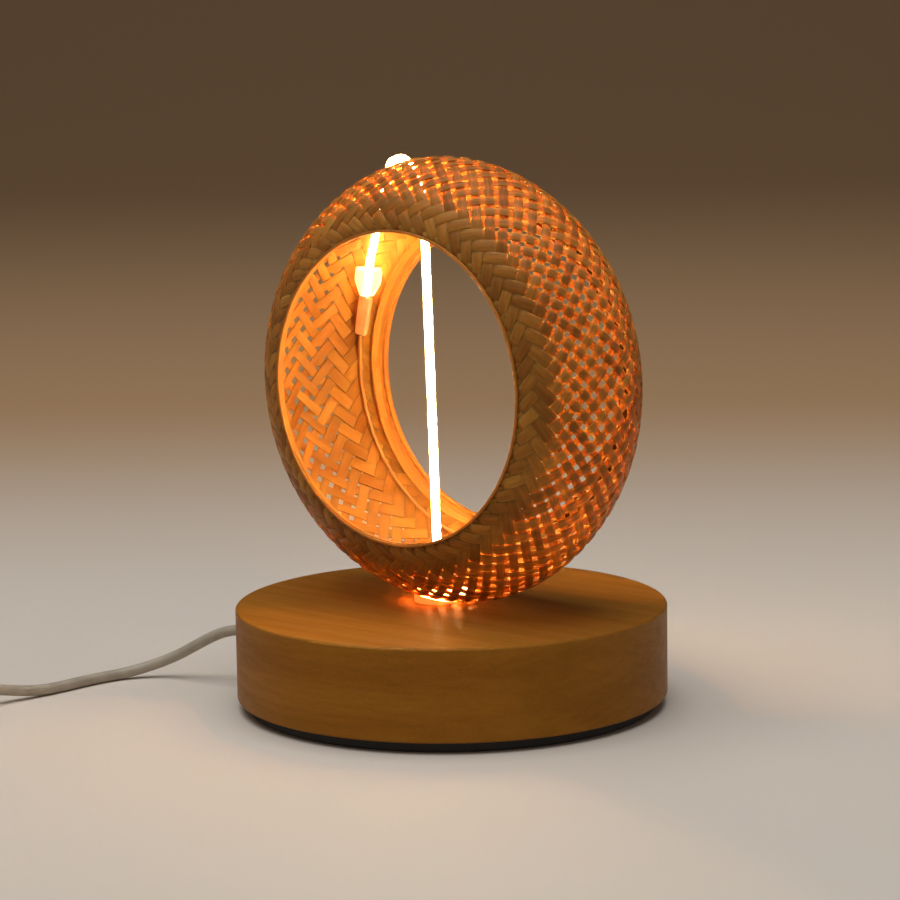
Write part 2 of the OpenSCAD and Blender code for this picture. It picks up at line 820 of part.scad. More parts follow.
module clear_sleeve() {
    top = leg_end - clear_sleeve_l * unit(leg_end - leg_top);
    half = clear_sleeve_w / 2;
    foot = joint_sleeve_w / 2;
    color("wheat") difference() {
        along(top, leg_end, sleeve_roll) rotate([90, 0, 0]) linear_extrude(clear_sleeve_t, center = true)
            polygon([[-half, 1], [1 - half, 0], [half - 1, 0], [half, 1], [half, clear_sleeve_straight],
                [foot, clear_sleeve_l], [-foot, clear_sleeve_l], [-half, clear_sleeve_straight]]);
        rod(leg_top, leg_end + unit(leg_end - leg_top), filament_d + 2 * fit);
    }
}

module joint_sleeve() {
    tip = leg_end + upper_ferrule_l * unit(leg_end - leg_top);
    start = leg_end + joint_apart * unit(leg_end - leg_top);
    color("bisque") difference() {
        along(start, joint_end, joint_roll) linear_extrude(norm(joint_end - start))
            round_plate(joint_sleeve_w, joint_sleeve_t, joint_sleeve_t / 2 - fit);
        rod(leg_end - unit(leg_end - leg_top), tip + 2 * fit * unit(leg_end - leg_top), joint_sleeve_t);
    }
}

module return_lead() {
    color("gold") tube(lead_points, lead_d, lead_sides);
}

// Cord
module cord_lamp_side() {
    color("gray") tube(lamp_side_points, cord_d, cord_sides);
    echo(lamp_side_length = path_length(lamp_side_points));
}

module cord_to_coil() {
    color("gray") tube(to_coil_points, cord_d, cord_sides);
    echo(to_coil_length = path_length(to_coil_points));
}

module cord_coil() {
    color("gray") tube(coil_points, cord_d, coil_sides);
    echo(coil_length = path_length(coil_points), coil_least_gap = least_gap(coil_points, coil_rings / 2));
}

module cord_plug_end() {
    color("gray") tube(plug_end_points, cord_d, cord_sides);
    echo(plug_end_length = path_length(plug_end_points));
}

module coil_tie() {
    sag = coil_r_in - sqrt(coil_r_in * coil_r_in - tie_w * tie_w / 4);
    low = coil_r_in - cord_d / 2 - sag - free;
    high = coil_r_out + cord_d / 2 + free;
    tall = coil_top_z + cord_d / 2 + free;
    corner = 1.5;
    color("black") translate([coil_c.x, coil_c.y, 0]) rotate([0, 0, tie_angle])
        translate([(low + high) / 2, tie_w / 2, (tall + tie_t) / 2]) rotate([90, 0, 0]) linear_extrude(tie_w) difference() {
            round_plate(high - low + 2 * tie_t, tall + tie_t, corner + tie_t);
            round_plate(high - low, tall - tie_t, corner);
        }
}

// Inline switch
module cord_notches() {
    at_switch(split_z) rotate([90, 0, 0]) cylinder(h = switch_l + 2 * cut, d = cord_d + 2 * fit, center = true);
}

module switch_lower_shell() {
    inner_w = switch_w - 2 * shell_t;
    inner_l = switch_l - 2 * shell_t;
    color("whitesmoke") difference() {
        union() {
            difference() {
                at_switch(0) linear_extrude(split_z) round_plate(switch_w, switch_l, switch_corner);
                at_switch(shell_t) linear_extrude(split_z) round_plate(inner_w, inner_l, switch_corner - shell_t);
                cord_notches();
            }
            at_switch_screws(0) cylinder(h = split_z, d = boss_d);
            at_switch(0) translate([-contact_w / 2, 3, 0]) cube([contact_w, 6, post_low]);
            at_switch(0) translate([-contact_w / 2, -9, 0]) cube([contact_w, 6, post_high]);
        }
        at_switch_screws(-cut) cylinder(h = split_z + 2 * cut, d = case_screw_d + 2 * fit);
        at_switch_screws(-cut) cylinder(h = shell_t + cut, d = case_screw_head_d + 2 * fit);
    }
}

module switch_upper_shell() {
    inner_w = switch_w - 2 * shell_t;
    inner_l = switch_l - 2 * shell_t;
    color("whitesmoke") difference() {
        union() {
            difference() {
                at_switch(split_z) linear_extrude(switch_h - split_z) round_plate(switch_w, switch_l, switch_corner);
                at_switch(split_z - cut) linear_extrude(roof_z - split_z + cut)
                    round_plate(inner_w, inner_l, switch_corner - shell_t);
                cord_notches();
                at_switch(roof_z) linear_extrude(2 * shell_t, center = true)
                    square([rocker_w + 2 * window_free, window_l], center = true);
                at_switch(roof_z) linear_extrude(2 * shell_t)
                    square([rocker_w + 2 * window_free, window_l], center = true);
            }
            at_switch_screws(split_z) cylinder(h = roof_z - split_z + shell_t / 2, d = boss_d);
            for (s = [-1, 1]) at_switch(pin_z) translate([s * (ear_x + ear_t / 2), 0, 0]) {
                rotate([0, 90, 0]) cylinder(h = ear_t, d = ear_d, center = true);
                translate([-ear_t / 2, -ear_d / 2, 0]) cube([ear_t, ear_d, roof_z - pin_z + shell_t / 2]);
            }
        }
        at_switch(pin_z) rotate([0, 90, 0]) cylinder(h = pin_l + 2 * cut, d = pin_d + 2 * fit, center = true);
        at_switch_screws(split_z - cut) cylinder(h = case_screw_l - split_z + shell_t + cut, d = case_screw_d + 2 * fit);
    }
}

module switch_rocker() {
    half = rocker_l / 2;
    color("dimgray") at_switch(pin_z) rotate([-rocker_tilt, 0, 0]) difference() {
        translate([-rocker_w / 2, 0, 0]) rotate([90, 0, 90]) linear_extrude(rocker_w)
            polygon([[-half, 1.3], [-half, 3], [0, 2.3], [half, 3], [half, 1.3], [3.6, -0.4], [3.6, -2.9],
                [2.4, -2.9], [1.9, -1.6], [-1.9, -1.6]]);
        rotate([0, 90, 0]) cylinder(h = rocker_w + 2 * cut, d = pin_d + 2 * running_fit, center = true);
    }
}

module rocker_pin() {
    color("silver") at_switch(pin_z) rotate([0, 90, 0]) cylinder(h = pin_l, d = pin_d, center = true);
}

module switch_contacts() {
    color("goldenrod") {
        at_switch(post_low) translate([-contact_w / 2, 2.6, 0]) cube([contact_w, 7.4, contact_t]);
        at_switch(post_high) translate([-contact_w / 2, -9.5, 0]) cube([contact_w, 14, leaf_t]);
    }
}

module switch_cord_ends() {
    color("gray") for (s = [-1, 1])
        at_switch(split_z) translate([0, s * (switch_l - cord_end_l) / 2, 0]) rotate([90, 0, 0])
            cylinder(h = cord_end_l, d = cord_d, center = true);
}

module switch_wires() {
    end = switch_l / 2 - cord_end_l - core_gap;
    low = post_low + contact_t + core_d / 2 + fit;
    high = post_high + leaf_t + core_d / 2 + fit;
    side = switch_w / 2 - shell_t - 1.6;
    turn = end - 4;
    color("firebrick") at_switch(0) {
        rod([core_side, end, split_z], [core_side, solder_y, low], core_d);
        rod([core_side, -end, split_z], [core_side, -solder_y, high], core_d);
        tube(rounded([[-core_side, end, split_z], [-side, turn, split_z - 1], [-side, -turn, split_z - 1],
            [-core_side, -end, split_z]], [0, wire_bend, wire_bend, 0]), core_d, lead_sides);
    }
}

module switch_screws() {
    color("silver") at_switch_screws(shell_t)
        cap_screw(case_screw_d, case_screw_l - shell_t, case_screw_head_d, case_screw_head_h);
}

// Plug
module plug_body() {
    color("whitesmoke") difference() {
        at_plug() union() {
            cylinder(h = tail_l, d1 = nose_tip_d, d2 = plug_h - free);
            translate([0, 0, tail_l]) linear_extrude(plug_l) round_plate(plug_h, plug_w, plug_corner);
        }
        at_plug() translate([0, 0, tail_l + plug_l - usb_inset])
            linear_extrude(usb_inset + cut) square([usb_h + 2 * fit, usb_w + 2 * fit], center = true);
    }
}

module plug_shell() {
    window = [usb_h + cut, 2.2];
    color("silver") at_plug() translate([0, 0, tail_l + plug_l - usb_inset]) difference() {
        linear_extrude(usb_inset + usb_l) difference() {
            square([usb_h, usb_w], center = true);
            square([usb_h - 2 * usb_wall, usb_w - 2 * usb_wall], center = true);
        }
        for (s = [-1, 1]) translate([0, s * usb_w / 4, usb_inset + usb_l / 2])
            cube([window.x, window.y, window.y], center = true);
    }
}

module plug_tongue() {
    w = usb_w - 2 * usb_wall - 2 * fit;
    color("black") at_plug() translate([-usb_h / 2 + usb_wall + fit, -w / 2, tail_l + plug_l - usb_inset])
        cube([tongue_h, w, usb_inset + usb_l - 0.5]);
}

module plug_contacts() {
    seat = -usb_h / 2 + usb_wall + fit + tongue_h;
    color("gold") at_plug() for (y = plug_contact_y)
        translate([seat, y - plug_contact_w / 2, tail_l + plug_l]) cube([plug_contact_t, plug_contact_w, plug_contact_l]);
}

wood_base();
base_cover();
cover_screws();
foot_pad();
driver_board();
driver_chip();
driver_resistors();
driver_capacitor();
board_spacers();
board_screws();
supply_wires();
filament_leads();
cord_clamp();
clamp_screws();
cord_grommet();
cord_inlet();
stem();
stem_washer();
stem_lower_nut();
stem_upper_nut();
lower_saddle();
upper_saddle();
stem_bush();
woven_wall();
front_rim_hoop();
rear_rim_hoop();
led_filament();
filament_ferrules();
clear_sleeve();
joint_sleeve();
return_lead();
cord_lamp_side();
switch_cord_ends();
switch_lower_shell();
switch_upper_shell();
switch_rocker();
rocker_pin();
switch_contacts();
switch_wires();
switch_screws();
cord_to_coil();
cord_coil();
coil_tie();
cord_plug_end();
plug_body();
plug_shell();
plug_tongue();
plug_contacts();
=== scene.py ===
"""Looks of a bamboo table lamp: woven ring, wooden base, light filament, cord, switch and plug."""

import json
import random
from bisect import bisect_right
from math import atan, atan2, ceil, cos, degrees, exp, floor, pi, radians, sin, sqrt, tan

import bmesh
import bpy
from bmesh.types import BMEdge, BMFace, BMVert
from mathutils import Matrix, Vector
from mathutils.geometry import convex_hull_2d


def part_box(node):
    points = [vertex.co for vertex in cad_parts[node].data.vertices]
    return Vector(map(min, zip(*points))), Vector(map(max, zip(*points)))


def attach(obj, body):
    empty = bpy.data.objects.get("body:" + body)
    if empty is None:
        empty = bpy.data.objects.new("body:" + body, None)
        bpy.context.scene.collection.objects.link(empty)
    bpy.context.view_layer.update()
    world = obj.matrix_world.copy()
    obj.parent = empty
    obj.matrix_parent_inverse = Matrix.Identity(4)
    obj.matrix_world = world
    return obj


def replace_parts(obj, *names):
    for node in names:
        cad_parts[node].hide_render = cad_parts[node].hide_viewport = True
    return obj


bl_info = {
    "name": "Bamboo Table Lamp",
    "version": (1, 0, 0),
    "blender": (4, 5, 0),
    "location": "View3D > Sidebar > Lamp",
    "description": "Dresses the bamboo table lamp: weave, wood, filament, cord, switch, plug and stage",
    "category": "Object",
}

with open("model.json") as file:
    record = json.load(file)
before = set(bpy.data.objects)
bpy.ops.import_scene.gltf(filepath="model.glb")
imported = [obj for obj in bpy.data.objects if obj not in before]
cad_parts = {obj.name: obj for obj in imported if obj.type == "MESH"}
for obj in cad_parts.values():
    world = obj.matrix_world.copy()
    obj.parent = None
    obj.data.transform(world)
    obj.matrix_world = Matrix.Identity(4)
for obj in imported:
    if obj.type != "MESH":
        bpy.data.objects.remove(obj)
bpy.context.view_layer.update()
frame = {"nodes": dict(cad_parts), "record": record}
NODES = frame["nodes"]
SLOT_OF = {entry["node"]: entry["material_slot"] for entry in frame["record"]["subparts"]}
MM = 0.001


class LampRing(bpy.types.PropertyGroup):
    """Sizes of the woven ring."""

    outer: bpy.props.FloatProperty(
        name="Outside diameter", description="Across the ring", default=0.103, unit="LENGTH")
    opening: bpy.props.FloatProperty(
        name="Opening", description="Diameter of the round opening", default=0.0715, unit="LENGTH")
    width: bpy.props.FloatProperty(
        name="Width", description="Ring width along its axis", default=0.0383, unit="LENGTH")
    power: bpy.props.FloatProperty(
        name="Roundness", description="Power of the section's curve", default=1.65)
    middle_z: bpy.props.FloatProperty(
        name="Middle height", description="Height of the ring's axis", default=0.0753, unit="LENGTH")
    strips: bpy.props.IntProperty(
        name="Strips", description="Strips in each direction of the weave", default=64)
    strip_width: bpy.props.FloatProperty(
        name="Strip width", description="Width of one split strip", default=0.0023, unit="LENGTH")
    waist: bpy.props.FloatProperty(
        name="Waist", description="Part of its width that a strip loses at the ring's middle",
        default=0.14)
    closing: bpy.props.FloatProperty(
        name="Closing", description="Part of its width that a strip gains behind the ring's middle",
        default=0.36)
    front_closing: bpy.props.FloatProperty(
        name="Front closing", description="Part of its width that a strip gains near the front rim",
        default=0.25)
    strip_thick: bpy.props.FloatProperty(
        name="Strip thickness", description="Thickness of one split strip", default=0.00044,
        unit="LENGTH")
    lift: bpy.props.FloatProperty(
        name="Lift", description="How far a strip rises and dips in the weave", default=0.00026,
        unit="LENGTH")
    slope: bpy.props.FloatProperty(
        name="Slope", description="Rise of a strip over its run round the ring", default=0.9)
    turn: bpy.props.FloatProperty(
        name="Turn", description="Turn of the weave round the ring's axis", default=radians(9.74),
        subtype="ANGLE")
    wall: bpy.props.FloatProperty(
        name="Wall", description="Thickness of the woven wall", default=0.0012, unit="LENGTH")


class LampLight(bpy.types.PropertyGroup):
    """The filament's light."""

    core: bpy.props.FloatProperty(
        name="Core", description="Diameter of the lit core", default=0.0015, unit="LENGTH")
    thick: bpy.props.FloatProperty(
        name="Thickness", description="Diameter of the filament with its skin", default=0.0021,
        unit="LENGTH")
    glow: bpy.props.FloatProperty(
        name="Glow", description="Strength of the core's light", default=165.0)
    glow_colour: bpy.props.FloatVectorProperty(
        name="Glow colour", description="Colour of the core's light", default=(1.0, 0.74, 0.36),
        subtype="COLOR")


class LampFinish(bpy.types.PropertyGroup):
    """Colours of the lamp's materials."""

    bamboo_pale: bpy.props.FloatVectorProperty(
        name="Pale bamboo", description="Lightest strips", default=(0.6, 0.228, 0.036), subtype="COLOR")
    bamboo_deep: bpy.props.FloatVectorProperty(
        name="Deep bamboo", description="Darkest strips", default=(0.34, 0.113, 0.015), subtype="COLOR")
    wood_pale: bpy.props.FloatVectorProperty(
        name="Pale wood", description="Lightest grain of the base", default=(0.345, 0.136, 0.016),
        subtype="COLOR")
    wood_deep: bpy.props.FloatVectorProperty(
        name="Deep wood", description="Darkest grain of the base", default=(0.29, 0.11, 0.012),
        subtype="COLOR")
    cord: bpy.props.FloatVectorProperty(
        name="Cord", description="Colour of the cord's sheath", default=(0.42, 0.36, 0.28), subtype="COLOR")
    shell: bpy.props.FloatVectorProperty(
        name="Moulded shell", description="Switch and plug plastic", default=(0.62, 0.585, 0.52),
        subtype="COLOR")


class LampStage(bpy.types.PropertyGroup):
    """Camera, floor and lights."""

    eye: bpy.props.FloatVectorProperty(
        name="Eye", description="Where the camera stands", default=(0.42139, -0.49776, 0.15726),
        subtype="TRANSLATION")
    azimuth: bpy.props.FloatProperty(
        name="Azimuth", description="Camera's turn to the right of the front", default=radians(40.23),
        subtype="ANGLE")
    elevation: bpy.props.FloatProperty(
        name="Elevation", description="Camera's height angle", default=radians(8.55), subtype="ANGLE")
    roll: bpy.props.FloatProperty(
        name="Roll", description="Camera's roll", default=radians(-0.834), subtype="ANGLE")
    lens: bpy.props.FloatProperty(
        name="Lens", description="Focal length", default=114.59, unit="CAMERA")
    floor: bpy.props.FloatVectorProperty(
        name="Floor", description="Colour of the floor", default=(0.7, 0.63, 0.55), subtype="COLOR")
    # The backdrop's colour is painted shade: the floor darkens behind the lamp as a dim room would.
    backdrop: bpy.props.FloatVectorProperty(
        name="Backdrop", description="Colour that the floor fades into behind the lamp",
        default=(0.46, 0.28, 0.145), subtype="COLOR")
    fade_start: bpy.props.FloatProperty(
        name="Fade start", description="Distance behind the lamp where the backdrop's colour begins",
        default=0.06, unit="LENGTH")
    fade_end: bpy.props.FloatProperty(
        name="Fade end", description="Distance behind the lamp where the backdrop's colour is full",
        default=0.55, unit="LENGTH")


# Small helpers for meshes and placing

# Angle in degrees past which an edge is sharp, and the angle under which two faces lie flat
SHARP = 35.0
FLAT = 0.5
# Distance in metres under which the points of a CAD copy are one
SAME_POINT = 2e-6


def add_piece(name, data, material, body="lamp"):
    """Puts a mesh or curve in the scene as a piece that rides on a body."""
    data.materials.append(material)
    piece = bpy.data.objects.new(name, data)
    bpy.context.scene.collection.objects.link(piece)
    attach(piece, body)
    return piece


def smooth_mesh(name, bm):
    """Turns a bmesh into a mesh with smooth faces."""
    mesh = bpy.data.meshes.new(name)
    bm.to_mesh(mesh)
    bm.free()
    for polygon in mesh.polygons:
        polygon.use_smooth = True
    return mesh


def new_piece(name, bm, material, body="lamp", sharp=SHARP):
    """Turns a bmesh into a piece whose edges past an angle stay sharp."""
    mesh = smooth_mesh(name, bm)
    mesh.set_sharp_from_angle(angle=radians(sharp))
    return add_piece(name, mesh, material, body)


def new_tube(name, points, diameter, material):
    """One open curve through points, with a round section."""
    curve = bpy.data.curves.new(name, "CURVE")
    curve.dimensions = "3D"
    curve.bevel_depth = diameter / 2
    curve.bevel_resolution = 4
    curve.use_fill_caps = True
    spline = curve.splines.new("POLY")
    spline.points.add(len(points) - 1)
    for target, point in zip(spline.points, points):
        target.co = (*point, 1.0)
    return add_piece(name, curve, material)


def only(kind, geometry):
    """The vertices, edges or faces in what an operator gives back."""
    return [element for element in geometry if isinstance(element, kind)]


def closed_loop(bm, places):
    """Vertices at places, and the edges that join them in a ring."""
    verts = [bm.verts.new(place) for place in places]
    edges = [bm.edges.new((verts[i - 1], verts[i])) for i in range(len(verts))]
    return verts, edges


def ease_edges(bm, edges, width, segments):
    """Rounds edges over a width."""
    bmesh.ops.bevel(bm, geom=edges, offset=width, offset_type="OFFSET", affect="EDGES",
                    segments=segments, profile=0.5, material=-1, clamp_overlap=True)


def smooth_route(points, step):
    """A smooth line through points, sampled about every step."""
    points = [Vector(p) for p in points]
    route = [points[0]]
    for i in range(len(points) - 1):
        before = points[i - 1] if i else points[0] * 2 - points[1]
        a, b = points[i], points[i + 1]
        after = points[i + 2] if i + 2 < len(points) else b * 2 - a
        count = max(2, ceil((b - a).length / step))
        for k in range(1, count + 1):
            t = k / count
            route.append(0.5 * (2 * a + (b - before) * t + (2 * before - 5 * a + 4 * b - after) * t ** 2
                                + (3 * a - before - 3 * b + after) * t ** 3))
    return route


def aimed(start, end, roll):
    """A frame at start whose Z points to end, turned by roll about it."""
    way = (Vector(end) - Vector(start)).normalized()
    lean = atan2(sqrt(way.x ** 2 + way.y ** 2), way.z)
    tilt = Matrix.Rotation(atan2(way.y, way.x), 4, "Z") @ Matrix.Rotation(lean, 4, "Y")
    return Matrix.Translation(start) @ tilt @ Matrix.Rotation(roll, 4, "Z")


def bevelled_copy(node, name, width, material, body="lamp"):
    """A copy of a CAD node with its outer edges eased, which stands for the node."""
    bm = bmesh.new()
    bm.from_mesh(NODES[node].data)
    bmesh.ops.remove_doubles(bm, verts=bm.verts, dist=SAME_POINT)
    bmesh.ops.dissolve_limit(bm, angle_limit=radians(FLAT), verts=bm.verts, edges=bm.edges,
                             use_dissolve_boundaries=False)
    outer = [edge for edge in bm.edges if edge.is_manifold and edge.is_convex]
    ease_edges(bm, [edge for edge in outer if edge.calc_face_angle(0.0) > radians(SHARP)], width, 2)
    piece = new_piece(name, bm, material, body)
    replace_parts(piece, node)
    return piece


# Shader nodes

def fill(tree, node, inputs):
    """Gives a node its inputs: a socket is linked, and anything else is a plain value."""
    for key, value in inputs.items():
        if isinstance(value, bpy.types.NodeSocket):
            tree.links.new(value, node.inputs[key])
        else:
            node.inputs[key].default_value = value


def add(tree, kind, inputs=None, **settings):
    """One shader node with its settings, values and links."""
    node = tree.nodes.new(kind)
    for key, value in settings.items():
        setattr(node, key, value)
    fill(tree, node, inputs or {})
    return node


def place_group(tree, group, **values):
    """Puts a node group in a material with its own values, and gives its outputs."""
    return add(tree, "ShaderNodeGroup", values, node_tree=group).outputs


def remap(tree, value, given=(0.0, 1.0), wanted=(0.0, 1.0), curve="LINEAR"):
    """A value brought from one range into another."""
    inputs = {0: value, 1: given[0], 2: given[1], 3: wanted[0], 4: wanted[1]}
    return add(tree, "ShaderNodeMapRange", inputs, interpolation_type=curve).outputs[0]


def noise(tree, vector, scale, detail, roughness=0.5):
    """Soft noise over the surface."""
    inputs = {"Vector": vector, "Scale": scale, "Detail": detail, "Roughness": roughness}
    return add(tree, "ShaderNodeTexNoise", inputs).outputs[0]


def combine(tree, operation, first, second):
    """One value from two."""
    return add(tree, "ShaderNodeMath", {0: first, 1: second}, operation=operation).outputs[0]


def combine_vectors(tree, operation, first, second):
    """One vector from two."""
    return add(tree, "ShaderNodeVectorMath", {0: first, 1: second}, operation=operation).outputs[0]


def scaled(tree, vector, factor):
    """A colour or vector times a factor."""
    return add(tree, "ShaderNodeVectorMath", {0: vector, "Scale": factor}, operation="SCALE").outputs[0]


def blend_colours(tree, factor, low, high):
    """Colour between low and high by factor."""
    return add(tree, "ShaderNodeMix", {0: factor, 6: low, 7: high}, data_type="RGBA").outputs[2]


def relief(tree, height, depth, strength):
    """A fine relief for the shader's normal, its depth in mm."""
    inputs = {"Height": height, "Distance": depth * MM, "Strength": strength}
    return add(tree, "ShaderNodeBump", inputs).outputs[0]


def rgba(colour):
    """A colour with full cover."""
    return (colour[0], colour[1], colour[2], 1.0)


def shade(colour, factor):
    """A colour made lighter or darker, with full cover."""
    return (colour[0] * factor, colour[1] * factor, colour[2] * factor, 1.0)


# Node groups

def new_group(name, inputs, outputs):
    """An empty shader group with named sockets."""
    group = bpy.data.node_groups.new(name, "ShaderNodeTree")
    for label, kind, value in inputs:
        socket = group.interface.new_socket(label, in_out="INPUT", socket_type=kind)
        if value is not None:
            socket.default_value = value
    for label in outputs:
        group.interface.new_socket(label, in_out="OUTPUT", socket_type="NodeSocketFloat")
    return group, add(group, "NodeGroupInput").outputs


def fibre_group():
    """Long streaks along one direction, for wood and bamboo."""
    group, given = new_group(
        "Long fibres",
        [("Vector", "NodeSocketVector", None), ("Stretch", "NodeSocketVector", (1.0, 1.0, 1.0)),
         ("Offset", "NodeSocketFloat", 0.0)],
        ["Streak", "Broad", "Height"])
    along = combine_vectors(group, "MULTIPLY", given["Vector"], given["Stretch"])
    moved = combine_vectors(group, "ADD", along, given["Offset"])
    fine = noise(group, moved, scale=1.0, detail=5.0, roughness=0.62)
    streak = remap(group, fine, (0.32, 0.68), curve="SMOOTHSTEP")
    broad = noise(group, scaled(group, moved, 0.16), scale=1.0, detail=2.0)
    broad = remap(group, broad, (0.34, 0.66), curve="SMOOTHSTEP")
    height = combine(group, "MULTIPLY", streak, fine)
    add(group, "NodeGroupOutput", {"Streak": streak, "Broad": broad, "Height": height})
    return group


def skin_group():
    """Fine moulded or sheathed surface: a soft mottle of the colour and a fine height."""
    group, given = new_group(
        "Fine skin",
        [("Vector", "NodeSocketVector", None), ("Fine", "NodeSocketFloat", 3000.0),
         ("Broad", "NodeSocketFloat", 120.0)],
        ["Mottle", "Height"])
    fine = noise(group, given["Vector"], given["Fine"], detail=2.0)
    broad = noise(group, given["Vector"], given["Broad"], detail=4.0)
    mottle = remap(group, broad, (0.3, 0.7), curve="SMOOTHSTEP")
    add(group, "NodeGroupOutput", {"Mottle": mottle, "Height": fine})
    return group


FIBRES = fibre_group()
SKIN = skin_group()


# Materials

# How far apart in the pattern of fibres the palest and the darkest strip start
TINT_OFFSET = 37.0


def new_material(name):
    """A material with its tree, its Principled shader and its Object coordinates."""
    material = bpy.data.materials.new(name)
    material.use_nodes = True
    tree = material.node_tree
    shader = next(node for node in tree.nodes if node.type == "BSDF_PRINCIPLED")
    return material, tree, shader, add(tree, "ShaderNodeTexCoord").outputs["Object"]


def strip_material(name, pale, deep, depth):
    """Split bamboo: fibres run along each strip, which has its own tint and lets light in to a depth."""
    material, tree, shader, _ = new_material(name)
    along = add(tree, "ShaderNodeUVMap", uv_map="along").outputs[0]
    tint = add(tree, "ShaderNodeAttribute", attribute_name="tint").outputs["Fac"]
    offset = combine(tree, "MULTIPLY", tint, TINT_OFFSET)
    fibres = place_group(tree, FIBRES, Vector=along, Offset=offset, Stretch=(7.0, 0.55, 1.0))
    streak = remap(tree, fibres["Streak"], wanted=(0.74, 1.06))
    broad = remap(tree, fibres["Broad"], wanted=(0.86, 1.1))
    colour = blend_colours(tree, tint, rgba(deep), rgba(pale))
    fill(tree, shader, {
        "Base Color": scaled(tree, colour, combine(tree, "MULTIPLY", streak, broad)),
        "Roughness": remap(tree, fibres["Streak"], wanted=(0.52, 0.38)),
        "Normal": relief(tree, fibres["Height"], depth=0.12, strength=0.5),
        "Specular IOR Level": 0.2,
        "Specular Tint": (1.0, 0.78, 0.45, 1.0),
        "Subsurface Weight": 0.9,
        "Subsurface Radius": (1.0, 0.6, 0.25),
        "Subsurface Scale": depth})
    return material


def wood_material(name, pale, deep):
    """Fine-grained wood under a satin lacquer."""
    material, tree, shader, place = new_material(name)
    fibres = place_group(tree, FIBRES, Vector=place, Stretch=(22.0, 260.0, 900.0))
    flecks = place_group(tree, FIBRES, Vector=place, Stretch=(260.0, 2600.0, 2600.0), Offset=11.0)
    grain = remap(tree, fibres["Streak"], wanted=(0.92, 1.05))
    fleck = remap(tree, flecks["Streak"], wanted=(0.93, 1.04))
    colour = blend_colours(tree, fibres["Broad"], rgba(deep), rgba(pale))
    fill(tree, shader, {
        "Base Color": scaled(tree, colour, combine(tree, "MULTIPLY", grain, fleck)),
        "Roughness": remap(tree, fibres["Streak"], wanted=(0.5, 0.4)),
        "Normal": relief(tree, flecks["Height"], depth=0.05, strength=0.35),
        "Specular IOR Level": 0.1,
        "Specular Tint": (1.0, 0.7, 0.38, 1.0)})
    return material


def skin_material(name, colour, rough=(0.42, 0.55), fine=3200.0, broad=150.0, depth=0.02, metallic=0.0,
                  spread=0.14):
    """Moulded plastic, rubber, tape or metal: a faint mottle, and a fine relief of a depth in mm."""
    material, tree, shader, place = new_material(name)
    skin = place_group(tree, SKIN, Vector=place, Fine=fine, Broad=broad)
    dark, pale = shade(colour, 1.0 - spread), shade(colour, 1.0 + spread * 0.5)
    fill(tree, shader, {
        "Base Color": blend_colours(tree, skin["Mottle"], dark, pale),
        "Roughness": remap(tree, skin["Mottle"], wanted=rough),
        "Normal": relief(tree, skin["Height"], depth, strength=0.6),
        "Metallic": metallic})
    return material


def shell_material(name, colour):
    """Pale moulded plastic of the switch and the plug."""
    return skin_material(name, colour, (0.42, 0.56), fine=3600.0, broad=220.0, depth=0.03, spread=0.06)


def glow_material(name, colour, strength, body=(0.9, 0.78, 0.5), cover=1.0, fade=None):
    """A lit filament, or a piece with a painted glow: the filament's skin or a frosted piece.

    fade gives an axis, the two places on it between which the light dims, and the part of it that is left.
    """
    material, tree, shader, place = new_material(name)
    skin = place_group(tree, SKIN, Vector=place, Broad=420.0)
    light = blend_colours(tree, skin["Mottle"], shade(colour, 0.9), rgba(colour))
    if fade:
        axis, start, end, least = fade
        along = add(tree, "ShaderNodeSeparateXYZ", {0: place}).outputs[axis]
        light = scaled(tree, light, remap(tree, along, (start, end), (1.0, least)))
    fill(tree, shader, {
        "Base Color": rgba(body),
        "Roughness": 0.4,
        "Emission Color": light,
        "Emission Strength": strength,
        "Alpha": cover})
    return material


def clear_material(name, colour):
    """Translucent sleeve."""
    material, tree, shader, place = new_material(name)
    skin = place_group(tree, SKIN, Vector=place, Broad=300.0)
    fill(tree, shader, {
        "Base Color": blend_colours(tree, skin["Mottle"], shade(colour, 0.88), rgba(colour)),
        "Roughness": remap(tree, skin["Mottle"], wanted=(0.28, 0.42)),
        "Normal": relief(tree, skin["Height"], depth=0.02, strength=0.4),
        "Transmission Weight": 0.6,
        "IOR": 1.3})
    return material


def paint_node(node, material):
    """Gives a CAD node its finish."""
    mesh = NODES[node].data
    mesh.materials.clear()
    mesh.materials.append(material)


# The ring's surface and weave

# Steps across the ring's section, and the steps to each side from which its direction is taken
SECTION_STEPS = 720
SECTION_SIDE = 6
# Steps in which a strip's way round the ring is added up
TRAVEL_STEPS = 400
# Part of a row over which a strip changes sides
CHANGE = 0.36
# Part of the way from the front rim to the ring's middle along which the strips lie close
FRONT_BAND = 0.44
# Powers that put the widest place of a strip further from the front rim, and further from the ring's middle
FRONT_PEAK = 1.5
REAR_PEAK = 1.6
# A strip's section: parts of half its thickness at its edges and crown, and the easing of face and back
EDGE = 0.3
CROWN = 1.2
FACE_EASE = 0.3 * MM
BACK_EASE = 0.12 * MM
# How far the strips part for the filament and how soon that fades, as parts of the room that it takes
PART_REACH = 4
PART_FADE = 1.5
PART_GAP = 0.15 * MM
# Length of the steps in which the filament's line is searched for places where it passes the wall
CROSSING_STEP = 0.2 * MM
# Middle and spread of the strips' tints
TINT_MIDDLE = 0.5
TINT_SPREAD = 0.24


